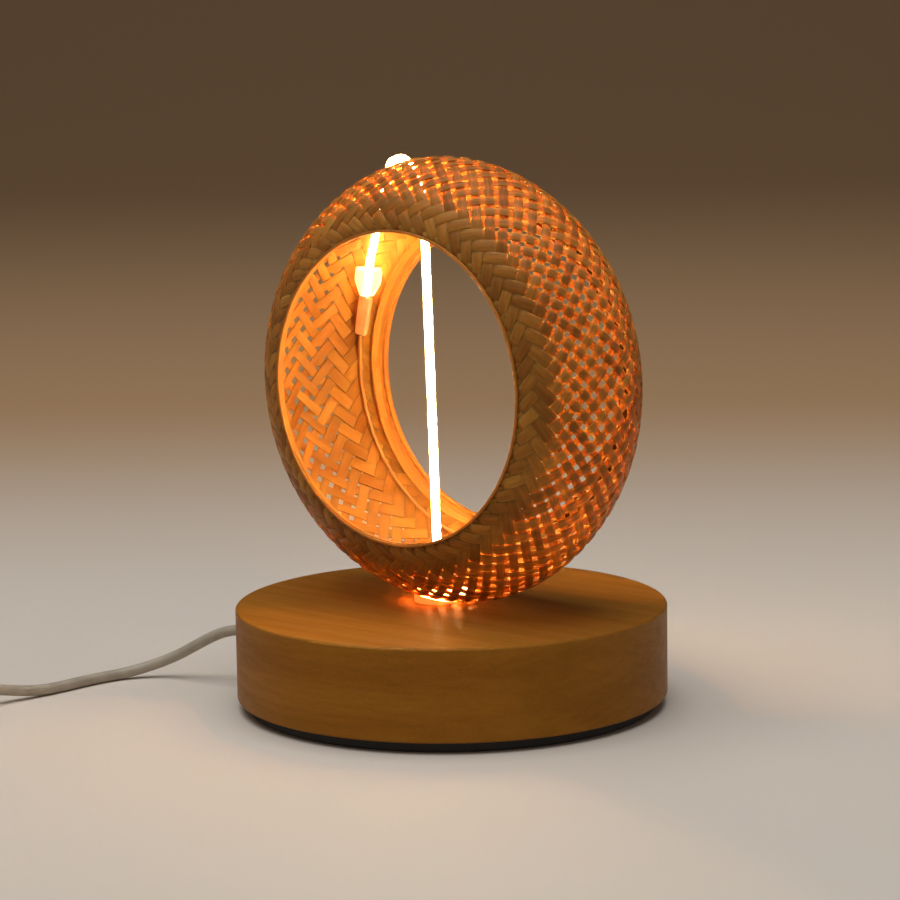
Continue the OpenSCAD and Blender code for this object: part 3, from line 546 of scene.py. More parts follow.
class RingSurface:
    """The woven wall at a depth: places on it by length across the section and angle round the ring."""

    def __init__(self, ring, depth):
        """Works out the section once, with the length up to each of its points."""
        self.rim = ring.opening / 2
        self.half = ring.width / 2 - depth
        self.bulge = ring.outer / 2 - self.rim - depth
        self.curve = 2 / ring.power
        self.middle = ring.middle_z
        self.points = [self.section(pi * i / SECTION_STEPS) for i in range(SECTION_STEPS + 1)]
        self.length = [0.0]
        for (ra, ya), (rb, yb) in zip(self.points, self.points[1:]):
            self.length.append(self.length[-1] + sqrt((rb - ra) ** 2 + (yb - ya) ** 2))
        self.total = self.length[-1]

    def section(self, t):
        """Radius and axial place at t, from the front rim to the rear rim."""
        side = 1.0 if cos(t) >= 0 else -1.0
        radius = self.rim + self.bulge * max(0.0, sin(t)) ** self.curve
        return radius, -self.half * side * abs(cos(t)) ** self.curve

    def at(self, s):
        """Radius, axial place and outward direction at length s across the section."""
        s = min(max(s, 0.0), self.total)
        i = min(max(bisect_right(self.length, s) - 1, 0), len(self.points) - 2)
        part = (s - self.length[i]) / max(self.length[i + 1] - self.length[i], 1e-9)
        (ra, ya), (rb, yb) = self.points[i], self.points[i + 1]
        low = self.points[max(i - SECTION_SIDE, 0)]
        high = self.points[min(i + 1 + SECTION_SIDE, len(self.points) - 1)]
        way = Vector((high[0] - low[0], high[1] - low[1])).normalized()
        return ra + (rb - ra) * part, ya + (yb - ya) * part, Vector((way.y, -way.x))

    def radius_at(self, y):
        """Radius of the surface at an axial place."""
        inside = max(0.0, 1 - (abs(y) / self.half) ** (2 / self.curve))
        return self.rim + self.bulge * inside ** (self.curve / 2)

    def place(self, angle, s, off):
        """A point at an angle left of the ring's top, off the surface by off."""
        r, y, out = self.at(s)
        r += out.x * off
        y += out.y * off
        return Vector((-r * sin(angle), y, self.middle + r * cos(angle)))


def weave_level(row):
    """How far a strip lies over (1) or under (-1) at a row: two rows over, then two rows under."""
    within = (row + 0.5) % 4.0
    edge = min(within, abs(within - 2.0), 4.0 - within)
    side = 1.0 if within < 2.0 else -1.0
    t = min(edge / CHANGE, 1.0)
    return side * t * t * (3 - 2 * t)


def weave_rows(limit):
    """Rows at which a strip gets a section: close together where it changes sides."""
    rows = []
    turn = 1.5 - 2 * ceil((limit + 1.5) / 2)
    while turn < limit + 2:
        rows += [turn + step for step in (-CHANGE, -CHANGE / 3, CHANGE / 3, CHANGE, 1.0)]
        turn += 2.0
    return [-limit] + [row for row in rows if abs(row) < limit - 0.05] + [limit]


def strip_share(ring, across):
    """Part of the strip width at a place from the front rim (-1) to the rear rim (1)."""
    narrowed = ring.waist * (1 - across ** 2)
    if across > 0:
        closed = ring.closing * sin(pi * across ** REAR_PEAK)
    else:
        from_rim = min((1 + across) / FRONT_BAND, 1.0)
        closed = ring.front_closing * sin(pi * from_rim ** FRONT_PEAK)
    return 1 - narrowed + closed


def strip_profile(ring):
    """A strip's section as places across it and off the surface: crowned face, eased edges, flat back."""
    w = ring.strip_width / 2
    t = ring.strip_thick / 2
    return [(-w, EDGE * t), (-w + FACE_EASE, t), (0.0, CROWN * t), (w - FACE_EASE, t), (w, EDGE * t),
            (w - BACK_EASE, -t), (-w + BACK_EASE, -t)]


def first_strip(bm, surface, ring, side, uv):
    """The first strip of the weave, as its sections; side 1 climbs to the left and -1 to the right."""
    pitch = pi / ring.strips
    travel = [0.0]
    for i in range(TRAVEL_STEPS):
        r = surface.at(surface.total * (i + 0.5) / TRAVEL_STEPS)[0]
        travel.append(travel[-1] + surface.total / TRAVEL_STEPS / (r * ring.slope))
    half_way = travel[-1] / 2

    def across_at(turned):
        """Length across the section where a strip has turned so far from its middle."""
        wanted = min(max(turned + half_way, 0.0), travel[-1])
        i = min(bisect_right(travel, wanted) - 1, TRAVEL_STEPS - 1)
        part = (wanted - travel[i]) / (travel[i + 1] - travel[i])
        return surface.total * (i + part) / TRAVEL_STEPS

    # A plain tube with one ring of points for each row of the weave
    rows = weave_rows(half_way / pitch)
    profile = strip_profile(ring)
    sides = len(profile)
    tube = bmesh.ops.create_cone(bm, cap_ends=False, segments=sides, radius1=1.0, radius2=1.0, depth=1.0)
    zero = atan2(tube["verts"][0].co.y, tube["verts"][0].co.x)
    long_edges = [edge for edge in bm.edges if abs(edge.verts[0].co.z - edge.verts[1].co.z) > 0.5]
    bmesh.ops.subdivide_edges(bm, edges=long_edges, cuts=len(rows) - 2)
    spot = {}
    for v in bm.verts:
        k = round((atan2(v.co.y, v.co.x) - zero) / (2 * pi) * sides) % sides
        spot[v] = (k, round((v.co.z + 0.5) * (len(rows) - 1)))

    # The fibres' pattern runs along the tube, with its seam between the last side and the first
    for face in bm.faces:
        face_sides = [spot[loop.vert][0] for loop in face.loops]
        for loop in face.loops:
            k, n = spot[loop.vert]
            if k == 0 and sides - 1 in face_sides:
                k = sides
            loop[uv].uv = (k / sides, rows[n] * 0.5)

    # Every point goes to its place on the ring; what would pass a rim turns along it
    beta = atan(ring.slope)
    sections = [[] for _ in rows]
    for v, (k, n) in spot.items():
        u, off = profile[k]
        row = rows[n]
        u *= strip_share(ring, row / rows[-1])
        s = across_at(row * pitch)
        r = surface.at(s)[0]
        angle = row * pitch - u * sin(beta) / r
        s += u * cos(beta)
        over = max(-s, s - surface.total, 0.0) * (-1 if s < 0 else 1)
        angle -= over / (r * ring.slope)
        off += side * weave_level(row) * ring.lift
        v.co = surface.place(ring.turn + side * angle, s - over, off)
        sections[n].append(v)
    return sections


def wall_crossings(route, surface):
    """Where a line passes the woven wall, with its direction there."""
    found = []
    for a, b in zip(route, route[1:]):
        way = b - a
        steps = max(1, ceil(way.length / CROSSING_STEP))
        spots = [a + way * (i / steps) for i in range(steps + 1)]
        outside = [Vector((p.x, p.z - surface.middle)).length > surface.radius_at(p.y) for p in spots]
        changes = zip(spots, outside, outside[1:])
        found += [(p, way.normalized()) for p, now, after in changes if now != after]
    return found


def part_strip(sections, crossings, room):
    """Pushes a strip aside where the filament passes between the strips."""
    for section in sections:
        middle = sum((v.co for v in section), Vector()) / len(section)
        for spot, way in crossings:
            aside = middle - spot
            aside -= way * aside.dot(way)
            if aside.length < PART_REACH * room:
                push = aside.normalized() * (room * exp(-(aside.length / (PART_FADE * room)) ** 2))
                for v in section:
                    v.co += push


def woven_strips(name, ring, side, material, seed, crossings, room):
    """All strips that run one way round the ring."""
    rng = random.Random(seed)
    surface = RingSurface(ring, ring.wall / 2)
    bm = bmesh.new()
    uv = bm.loops.layers.uv.new("along")
    tint = bm.faces.layers.float.new("tint")
    first = first_strip(bm, surface, ring, side, uv)
    geometry = list(bm.verts) + list(bm.edges) + list(bm.faces)
    centre = Vector((0.0, 0.0, ring.middle_z))
    strips = [first]
    for face in bm.faces:
        face[tint] = TINT_MIDDLE
    for i in range(1, ring.strips):
        copy = bmesh.ops.duplicate(bm, geom=geometry)
        twin = copy["vert_map"]
        strips.append([[twin[v] for v in section] for section in first])
        bmesh.ops.rotate(bm, verts=only(BMVert, copy["geom"]), cent=centre,
                         matrix=Matrix.Rotation(2 * pi * i / ring.strips, 3, "Y"))
        value = min(max(rng.gauss(TINT_MIDDLE, TINT_SPREAD), 0.0), 1.0)
        for face in only(BMFace, copy["geom"]):
            face[tint] = value
    for strip in strips:
        part_strip(strip, crossings, room)
    bmesh.ops.recalc_face_normals(bm, faces=bm.faces)
    return new_piece(name, bm, material, sharp=50.0)


def ring_point(ring, r, angle, y):
    """A point at radius r, an angle left of the ring's top in degrees, and axial place y."""
    return Vector((-r * sin(radians(angle)), y, ring.middle_z + r * cos(radians(angle))))


def wall_point(ring, angle, y, gap):
    """A point that lies gap inside the woven wall."""
    return ring_point(ring, RingSurface(ring, ring.wall + gap).radius_at(y), angle, y)


# The filament's line

# Its lower leg and the strip under it: angle left of the ring's top, axial place and gap to the wall
LEG_TOP = (54, 12.02 * MM, 2.4 * MM)
LEG_END = (65.5, 13.52 * MM, 2.4 * MM)
JOINT_END = (80, 14.22 * MM, 2.0 * MM)
# Where the stem stands, the straight length above its bush, and where the filament leans, as radius and angle
STEM_X = -4 * MM
STRAIGHT = 2 * MM
LEAN = (42.2 * MM, 8.9)
# The hook over the outside: its height above the weave and the angles between which it runs
HOOK_RISE = 0.8 * MM
HOOK_ANGLES = (13, 18)
# Bend radius at each point of the line, and the degrees of bend in one step of it
BENDS = [bend * MM for bend in (0, 30, 12, 3, 3, 6, 0)]
BEND_STEP = 6


def rounded_route(points, bends):
    """Points with their corners rounded to the bend radii."""
    route = [points[0]]
    for point, bend, last, following in zip(points[1:], bends[1:], points, points[2:]):
        before = (point - last).normalized()
        after = (following - point).normalized()
        turn = before.angle(after)
        start = point - before * (bend * tan(turn / 2))
        inward = before.cross(after).normalized().cross(before).normalized()
        steps = max(3, ceil(degrees(turn) / BEND_STEP))
        for k in range(steps + 1):
            turned = turn * k / steps
            route.append(start + inward * (bend * (1 - cos(turned))) + before * (bend * sin(turned)))
    return route + [points[-1]]


def filament_route(ring):
    """The filament's line: up from its bush, out through the weave, over a short hook and back in."""
    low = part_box("led_filament")[0][2]
    bush_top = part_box("stem_bush")[1][2]
    hook = ring.outer / 2 + HOOK_RISE
    points = [Vector((STEM_X, 0, low)), Vector((STEM_X, 0, bush_top + STRAIGHT)), ring_point(ring, *LEAN, 0)]
    points += [ring_point(ring, hook, angle, 0) for angle in HOOK_ANGLES]
    points += [wall_point(ring, *LEG_TOP), wall_point(ring, *LEG_END)]
    return rounded_route(points, BENDS)


# Stage

# The floor in metres: how far it lies under the lamp, how far before the lamp it starts, how long it runs
# flat, half its width, the radius, angle and steps of its sweep, and the backdrop's height above that
FLOOR_DROP = 0.05 * MM
FLOOR_NEAR = 4.0
FLOOR_RUN = 6.0
FLOOR_HALF = 5.0
SWEEP_RADIUS = 1.2
SWEEP_ANGLE = radians(85)
SWEEP_STEPS = 20
BACKDROP_HEIGHT = 3.0
# The room's colour, and how bright it is as light and as seen
ROOM_COLOUR = (1.0, 0.975, 0.945, 1.0)
ROOM_LIGHT = 0.1
ROOM_SEEN = 0.35
# Soft lamps: name, place, size and power, and the point that they are turned to
SOFT_LIGHTS = [("overhead", (0.0, -0.2, 1.35), 1.3, 15.2), ("fill", (0.55, -1.25, 0.7), 1.2, 0.3)]
LIGHT_AIM = Vector((0.0, 0.0, 0.06))


class LAMP_OT_stage(bpy.types.Operator):
    """Sets the camera, the pale floor and the soft lights."""

    bl_idname = "lamp.stage"
    bl_label = "Stage"

    def execute(self, context):
        stage = context.scene.lamp_stage
        self.camera(context, stage)
        self.floor(context, stage)
        self.lights(context)
        context.scene.view_settings.view_transform = "Standard"
        return {"FINISHED"}

    def camera(self, context, stage):
        """The camera at the photograph's place and angle."""
        a, e, roll = stage.azimuth, stage.elevation, stage.roll
        back = Vector((sin(a) * cos(e), -cos(a) * cos(e), sin(e)))
        right = Vector((cos(a), sin(a), 0.0))
        up = back.cross(right)
        right, up = right * cos(roll) + up * sin(roll), up * cos(roll) - right * sin(roll)
        data = bpy.data.cameras.new("photo_camera")
        data.lens = stage.lens
        data.sensor_width = 36.0
        data.clip_start = 0.01
        camera = bpy.data.objects.new("photo_camera", data)
        camera.matrix_world = Matrix((
            (right.x, up.x, back.x, stage.eye[0]), (right.y, up.y, back.y, stage.eye[1]),
            (right.z, up.z, back.z, stage.eye[2]), (0, 0, 0, 1)))
        context.scene.collection.objects.link(camera)
        context.scene.camera = camera

    def floor(self, context, stage):
        """A floor that sweeps up into a backdrop behind the lamp."""
        ahead = Vector((-sin(stage.azimuth), cos(stage.azimuth), 0.0))
        across = Vector((cos(stage.azimuth), sin(stage.azimuth), 0.0))
        down = Vector((0.0, 0.0, FLOOR_DROP))
        bm = bmesh.new()
        near = [bm.verts.new(ahead * -FLOOR_NEAR + across * (side * FLOOR_HALF) - down) for side in (-1, 1)]
        flat = bmesh.ops.extrude_edge_only(bm, edges=[bm.edges.new(near)])["geom"]
        bmesh.ops.translate(bm, verts=only(BMVert, flat), vec=ahead * FLOOR_RUN)
        edge = [e for e in only(BMEdge, flat) if all(v not in near for v in e.verts)]
        centre = ahead * (FLOOR_RUN - FLOOR_NEAR) + Vector((0.0, 0.0, SWEEP_RADIUS))
        swept = bmesh.ops.spin(bm, geom=edge + list(edge[0].verts), cent=centre, axis=across,
                               angle=SWEEP_ANGLE, steps=SWEEP_STEPS)
        raised = bmesh.ops.extrude_edge_only(bm, edges=only(BMEdge, swept["geom_last"]))["geom"]
        bmesh.ops.translate(bm, verts=only(BMVert, raised), vec=(0.0, 0.0, BACKDROP_HEIGHT))
        bmesh.ops.recalc_face_normals(bm, faces=bm.faces)
        mesh = smooth_mesh("floor", bm)
        mesh.materials.append(self.floor_material(stage, ahead))
        ground = bpy.data.objects.new("floor", mesh)
        context.scene.collection.objects.link(ground)

    def floor_material(self, stage, ahead):
        """Pale floor that darkens to the backdrop's colour behind the lamp: painted shade, as of a dimly lit
        room beyond.
        """
        material, tree, shader, place = new_material("pale_floor")
        skin = place_group(tree, SKIN, Vector=place, Broad=6.0)
        pale = blend_colours(tree, skin["Mottle"], shade(stage.floor, 0.985), rgba(stage.floor))
        behind = add(tree, "ShaderNodeVectorMath", {0: place, 1: ahead}, operation="DOT_PRODUCT")
        reach = (stage.fade_start, stage.fade_end)
        # Painted shade: the floor's colour darkens with distance behind the lamp.
        far = remap(tree, behind.outputs["Value"], reach, curve="SMOOTHSTEP")
        fill(tree, shader, {
            "Base Color": blend_colours(tree, far, pale, rgba(stage.backdrop)),
            "Roughness": 0.7})
        return material

    def lights(self, context):
        """A dim room and two soft lamps."""
        world = bpy.data.worlds.new("soft_room")
        world.use_nodes = True
        tree = world.node_tree
        path = add(tree, "ShaderNodeLightPath").outputs
        seen = combine(tree, "MAXIMUM", path["Is Camera Ray"], path["Is Transmission Ray"])
        seen = combine(tree, "MAXIMUM", seen, path["Is Glossy Ray"])
        strength = remap(tree, seen, wanted=(ROOM_LIGHT, ROOM_SEEN))
        fill(tree, tree.nodes["Background"], {"Color": ROOM_COLOUR, "Strength": strength})
        context.scene.world = world
        for name, place, size, power in SOFT_LIGHTS:
            data = bpy.data.lights.new(name, "AREA")
            data.size = size
            data.energy = power
            light = bpy.data.objects.new(name, data)
            light.location = place
            light.rotation_euler = (LIGHT_AIM - Vector(place)).to_track_quat("-Z", "Y").to_euler()
            context.scene.collection.objects.link(light)


# Cords, with the route in mm as it is in the CAD

CORD_D = 2.6
ROUTE_STEP = 1.3
# Where the cord leaves the base: angle, height, and the radii of its first two points
EXIT_ANGLE = radians(197)
EXIT_Z = 13
EXIT_RADII = (53, 55.6)
# From the base to the switch
LAMP_SIDE = [(r * cos(EXIT_ANGLE), r * sin(EXIT_ANGLE), EXIT_Z) for r in EXIT_RADII] + [
    (-57.4, -17.5, 12), (-61.2, -18.7, 10.2), (-65, -19.9, 8), (-69, -21.3, 5.7), (-73, -23.5, 3.7),
    (-76.5, -27, 2.2), (-79, -31.5, 1.4), (-80.3, -37, 1.3), (-80.8, -43, 1.3), (-81, -49, 1.3),
    (-81.5, -54.5, 1.5), (-82.5, -60, 2.2), (-83.5, -65.5, 3.3), (-84, -70.5, 4), (-84, -72.4, 4.2),
    (-84, -75, 4.2)]
# From the switch to the coil, as y and z at the switch's x
SWITCH_X = -84.0
LEAD_IN = [
    (-107, 4.2), (-109.6, 4.2), (-115, 3.6), (-120, 2.6), (-124.8, 2.2), (-127.4, 2.2), (-130, 2.2)]
# From the coil to the plug, as x past the coil's middle: along the top of the coil, then down, with z
OVER_COIL = (0, 2.6, 5.2)
LEAD_OUT = [(10, 10.4), (14.5, 8.4), (19, 6), (23, 4.4), (25.4, 3.8), (28, 3.8)]
COIL = {"turns": 13.25, "mean": 15.6, "pitch": 3.5, "rise": 3.1, "layers": 4, "low": 2.2,
        "entry": (-84.0, -130.0), "rings": 24}
# Part of a turn in which the coil climbs a layer
CLIMB = 0.5
# The tape round the coil: its place, width, thickness, gap to the turns, and steps in its outline
TIE = {"angle": radians(45), "width": 8.0, "thick": 0.6, "gap": 0.1, "steps": 8}


def coil_points():
    """The put-away coil: it spirals in and out and climbs a layer where the spiral turns back."""
    layers = COIL["layers"]
    layer_turns = (COIL["turns"] - (layers - 1) * CLIMB) / layers
    outer = COIL["mean"] + layer_turns * COIL["pitch"] / 2
    inner = COIL["mean"] - layer_turns * COIL["pitch"] / 2
    middle = (COIL["entry"][0] + outer, COIL["entry"][1])
    points = []
    for i in range(int(COIL["turns"] * COIL["rings"]) + 1):
        s = i / COIL["rings"]
        layer = min(layers - 1, floor(s / (layer_turns + CLIMB)))
        within = s - layer * (layer_turns + CLIMB)
        step = COIL["pitch"] * min(within, layer_turns)
        r = outer - step if layer % 2 == 0 else inner + step
        z = COIL["low"] + COIL["rise"] * (layer + max(0.0, within - layer_turns) / CLIMB)
        points.append((middle[0] + r * cos(pi + 2 * pi * s), middle[1] + r * sin(pi + 2 * pi * s), z))
    return points, middle, outer


class LAMP_OT_cords(bpy.types.Operator):
    """Lays the cord from the base to the switch, and from the switch through the coil to the plug."""

    bl_idname = "lamp.cords"
    bl_label = "Cords"

    def execute(self, context):
        sheath = skin_material("cord_sheath", context.scene.lamp_finish.cord, (0.4, 0.56),
                               fine=2600.0, broad=260.0, depth=0.03)
        tape = skin_material("tie_tape", (0.045, 0.042, 0.04), (0.75, 0.9),
                             fine=5200.0, broad=400.0, depth=0.06)
        lamp_side = [Vector(p) * MM for p in smooth_route(LAMP_SIDE, ROUTE_STEP)]
        first = new_tube("lamp_cord", lamp_side, CORD_D * MM, sheath)
        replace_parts(first, "cord_lamp_side")
        turns, middle, outer = coil_points()
        lead_in = smooth_route([(SWITCH_X, y, z) for y, z in LEAD_IN], ROUTE_STEP)
        over = [(x, turns[-1][2]) for x in OVER_COIL]
        outward = [(middle[0] + x, middle[1] - outer, z) for x, z in over + LEAD_OUT]
        lead_out = smooth_route(outward, ROUTE_STEP)
        route = [Vector(p) * MM for p in lead_in + turns[1:] + lead_out[1:]]
        second = new_tube("coiled_cord", route, CORD_D * MM, sheath)
        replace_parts(second, "cord_to_coil", "cord_coil", "cord_plug_end")
        tie = self.tie(turns, middle, tape)
        for node in ("cord_inlet", "switch_cord_ends"):
            paint_node(node, sheath)
        LAMP_OT_cords.laid = (first, lamp_side, second, route, tie)
        return {"FINISHED"}

    def tie(self, turns, middle, tape):
        """A tape drawn tight round the coil's turns at one place."""
        reach = CORD_D / 2 + TIE["gap"]
        steps = TIE["steps"]
        round_turn = [(reach * cos(pi * k / steps), reach * sin(pi * k / steps)) for k in range(2 * steps)]
        outward = Vector((cos(TIE["angle"]), sin(TIE["angle"])))
        outline = []
        for start, end in zip(turns, turns[1:]):
            for step in range(steps):
                spot = Vector(start).lerp(Vector(end), step / steps)
                out = spot.xy - Vector(middle)
                r = out.dot(outward)
                if r > 0 and abs(outward.cross(out)) < TIE["width"] / 2:
                    outline += [(r + across, spot.z + above) for across, above in round_turn]
        tight = [outline[i] for i in convex_hull_2d(outline)]
        bm = bmesh.new()
        near, edges = closed_loop(bm, [(r, -TIE["width"] / 2, z) for r, z in tight])
        far = only(BMVert, bmesh.ops.extrude_edge_only(bm, edges=edges)["geom"])
        bmesh.ops.translate(bm, verts=far, vec=(0.0, TIE["width"], 0.0))
        bm.normal_update()
        centre = sum((v.co for v in near + far), Vector()) / len(near + far)
        inward = [face for face in bm.faces if face.normal.dot(face.calc_center_median() - centre) < 0]
        bmesh.ops.reverse_faces(bm, faces=inward)
        bmesh.ops.solidify(bm, geom=bm.faces[:], thickness=-TIE["thick"])
        bmesh.ops.recalc_face_normals(bm, faces=bm.faces)
        place = Matrix.Translation((*middle, 0.0)) @ Matrix.Rotation(TIE["angle"], 4, "Z")
        bmesh.ops.transform(bm, verts=bm.verts, matrix=Matrix.Scale(MM, 4) @ place)
        piece = new_piece("coil_tape", bm, tape)
        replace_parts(piece, "coil_tie")
        return piece


# Base and ring

# How far light passes into the strips of the wall, and into the bindings
WALL_DEPTH = 3.0 * MM
BINDING_DEPTH = 0.5 * MM
# How much lighter the bindings are than the strips
BINDING_SHADE = 1.1
# Seeds of the strips' tints, for those that climb to the left and to the right
SEED_LEFT = 11
SEED_RIGHT = 23


class LAMP_OT_base(bpy.types.Operator):
    """Finishes the wooden base, its pad, the pieces inside it and those that hold the ring; the nylon pieces
    that hold the ring glow with painted light.
    """

    bl_idname = "lamp.base"
    bl_label = "Base"

    def execute(self, context):
        finish = context.scene.lamp_finish
        # The frosted nylon's painted glow is full up to the upper saddle's middle height, and fades to almost
        # nothing at its top and above.
        saddle_low, saddle_high = (corner[2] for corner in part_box("upper_saddle"))
        painted_glow_fade = ("Z", (saddle_low + saddle_high) / 2, saddle_high, 0.02)
        paint_node("wood_base", wood_material("lacquered_wood", finish.wood_pale, finish.wood_deep))
        by_slot = {
            "cover_board": skin_material(
                "cover_board", (0.42, 0.3, 0.18), (0.6, 0.75), fine=1600.0, broad=90.0, depth=0.04),
            "steel": skin_material(
                "screw_steel", (0.6, 0.59, 0.57), (0.3, 0.36), fine=4000.0, broad=120.0, depth=0.001,
                metallic=1.0, spread=0.06),
            "pad_dark": skin_material(
                "pad_foam", (0.035, 0.031, 0.028), (0.8, 0.95), fine=1800.0, broad=200.0, depth=0.08),
            "board_green": skin_material(
                "board_lacquer", (0.03, 0.14, 0.06), (0.3, 0.4), fine=2000.0, broad=300.0),
            "component_black": skin_material("moulded_black", (0.025, 0.025, 0.025), (0.4, 0.55)),
            "capacitor_blue": skin_material("capacitor_sleeve", (0.03, 0.05, 0.18), (0.25, 0.35)),
            "nylon_white": skin_material("nylon", (0.76, 0.74, 0.68), (0.4, 0.5)),
            "wire_red": skin_material("red_wire", (0.42, 0.04, 0.03), (0.4, 0.5)),
            "wire_yellow": skin_material("honey_wire", (0.6, 0.33, 0.1), (0.4, 0.5)),
            "grommet_grey": skin_material(
                "grommet_rubber", (0.14, 0.125, 0.105), (0.6, 0.75), fine=2200.0, broad=300.0, depth=0.04),
            "brass": skin_material(
                "turned_brass", (0.62, 0.43, 0.17), (0.22, 0.36), fine=4000.0, broad=500.0, depth=0.01,
                metallic=1.0),
            # Painted glow: the frosted nylon pieces shine orange, as if lit from within by the filament,
            # though they are no lamp; their body colour is darkened to offset the filament's light close by.
            "nylon_frosted": glow_material(
                "nylon_painted_glow", (1.0, 0.4, 0.1), 36.0, (0.45, 0.28, 0.12), fade=painted_glow_fade),
        }
        for node, slot in SLOT_OF.items():
            if slot in by_slot:
                paint_node(node, by_slot[slot])
        # Painted glow: the lower saddle gives off a dim red light that stands for the filament's light
        # falling through the weave's foot onto the base.
        paint_node("lower_saddle", glow_material("nylon_painted_dim_glow", (1.0, 0.2, 0.03), 1.3, (0.55, 0.22, 0.06)))
        return {"FINISHED"}


class LAMP_OT_weave(bpy.types.Operator):
    """Weaves the ring's wall from split strips that run both ways."""

    bl_idname = "lamp.weave"
    bl_label = "Woven wall"

    def execute(self, context):
        ring, finish = context.scene.lamp_ring, context.scene.lamp_finish
        bamboo = strip_material("split_bamboo", finish.bamboo_pale, finish.bamboo_deep, WALL_DEPTH)
        crossings = wall_crossings(filament_route(ring), RingSurface(ring, ring.wall / 2))
        room = context.scene.lamp_light.thick / 2 + PART_GAP
        left = woven_strips("strips_left", ring, 1, bamboo, SEED_LEFT, crossings, room)
        right = woven_strips("strips_right", ring, -1, bamboo, SEED_RIGHT, crossings, room)
        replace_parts(left, "woven_wall")
        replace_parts(right, "woven_wall")
        return {"FINISHED"}


# Flat binding strips on a rim, in mm and degrees: both edges of the inner face as (out from the rim, in from
# the ring's end), thickness, first angle left of the top, span and tint
FRONT_ROWS = [
    ((-0.55, -0.2), (-0.55, 1.55), 0.6, 0, 360, 0.95),
    ((-0.2, 1.6), (3.1, 3.9), 0.7, 0, 360, 0.5),
    ((-0.8, 0.2), (-0.8, 1.2), 0.25, 118, 74, 0.8)]
REAR_ROWS = [
    ((-0.55, -0.2), (-0.55, 1.3), 0.55, 0, 360, 0.7),
    ((-0.15, 0.6), (1.0, 2.0), 0.35, 0, 360, 0.3),
    ((0.85, 1.85), (1.9, 3.2), 0.35, 0, 360, 0.65),
    ((0.5, 1.95), (1.5, 3.3), 0.3, 92, 19, 0.85)]
# A binding strip's eased edge, the degrees in one step of it, and the length of one repeat of its fibres
BINDING_EASE = 0.1 * MM
BINDING_STEP = 2.5
BINDING_REPEAT = 4 * MM


def binding_strip(bm, ring, end, row, uv, tint):
    """One flat strip wound on a rim; end is -1 at the front and 1 at the rear."""
    first, last, thick, start, span, tone = row
    a, b = (Vector((ring.opening / 2 + out * MM, end * (ring.width / 2 - inward * MM)))
            for out, inward in (first, last))
    along = (b - a).normalized()
    outward = Vector((along.y, -along.x)) * (1 if along.y > 0 else -1)
    side = along * BINDING_EASE
    low = outward * BINDING_EASE
    high = outward * (thick * MM - BINDING_EASE)
    top = outward * (thick * MM)
    profile = [a + side, b - side, b + low, b + high, b - side + top, a + side + top, a + high, a + low]
    known = set(bm.faces)
    verts, edges = closed_loop(bm, [ring_point(ring, p.x, start, p.y) for p in profile])
    swept = bmesh.ops.spin(bm, geom=verts + edges, cent=(0.0, 0.0, ring.middle_z), axis=(0.0, -1.0, 0.0),
                           angle=radians(span), steps=ceil(span / BINDING_STEP), use_merge=span == 360)
    if span != 360:
        for cut_end in (edges, only(BMEdge, swept["geom_last"])):
            bmesh.ops.contextual_create(bm, geom=cut_end)

    def turned(place):
        """Angle of a place past the strip's start."""
        return (atan2(-place.x, place.z - ring.middle_z) - radians(start)) % (2 * pi)

    for face in bm.faces:
        if face in known:
            continue
        face[tint] = tone
        face_angle = turned(face.calc_center_median())
        for loop in face.loops:
            co = loop.vert.co
            angle = turned(co)
            angle += 2 * pi * round((face_angle - angle) / (2 * pi))
            flat = Vector((Vector((co.x, co.z - ring.middle_z)).length, co.y))
            loop[uv].uv = ((flat - a).dot(along) / (b - a).length, angle * a.x / BINDING_REPEAT)


class LAMP_OT_hoops(bpy.types.Operator):
    """Binds both rims with flat strips whose cut ends overlap."""

    bl_idname = "lamp.hoops"
    bl_label = "Rim bindings"

    def execute(self, context):
        finish, ring = context.scene.lamp_finish, context.scene.lamp_ring
        pale, deep = (shade(tone, BINDING_SHADE) for tone in (finish.bamboo_pale, finish.bamboo_deep))
        bamboo = strip_material("hoop_bamboo", pale, deep, BINDING_DEPTH)
        for name, node, end, rows in (
                ("front_binding", "front_rim_hoop", -1, FRONT_ROWS),
                ("rear_binding", "rear_rim_hoop", 1, REAR_ROWS)):
            bm = bmesh.new()
            uv = bm.loops.layers.uv.new("along")
            tint = bm.faces.layers.float.new("tint")
            for row in rows:
                binding_strip(bm, ring, end, row, uv, tint)
            bmesh.ops.recalc_face_normals(bm, faces=bm.faces)
            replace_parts(new_piece(name, bm, bamboo), node)
        return {"FINISHED"}


# Filament and its sleeves

# Where the core's light dims towards its end: axis, the two places on it, and the part that is left
CORE_FADE = ("X", -16 * MM, -22 * MM, 0.3)
# The skin's own glow, a painted halo round the lit core, and how much of the core it covers
SKIN_HALO_GLOW = 0.9
SKIN_COVER = 0.3
# Sleeves in mm: turn about their length, width and thickness where wide and where narrow, and straight length
PALE_SLEEVE = {"roll": radians(100), "wide": (6.2, 2.8), "narrow": (3.4, 2.2), "straight": 3.5}
FLAT_SLEEVE = {"roll": radians(155), "wide": (3.4, 1.8), "narrow": (3.0, 1.6), "straight": 5.0}
SLEEVE_EASE = 0.55
# How far the pale sleeve reaches back over the filament, and the gap between both sleeves
PALE_REACH = 7 * MM
SLEEVE_GAP = 0.4 * MM


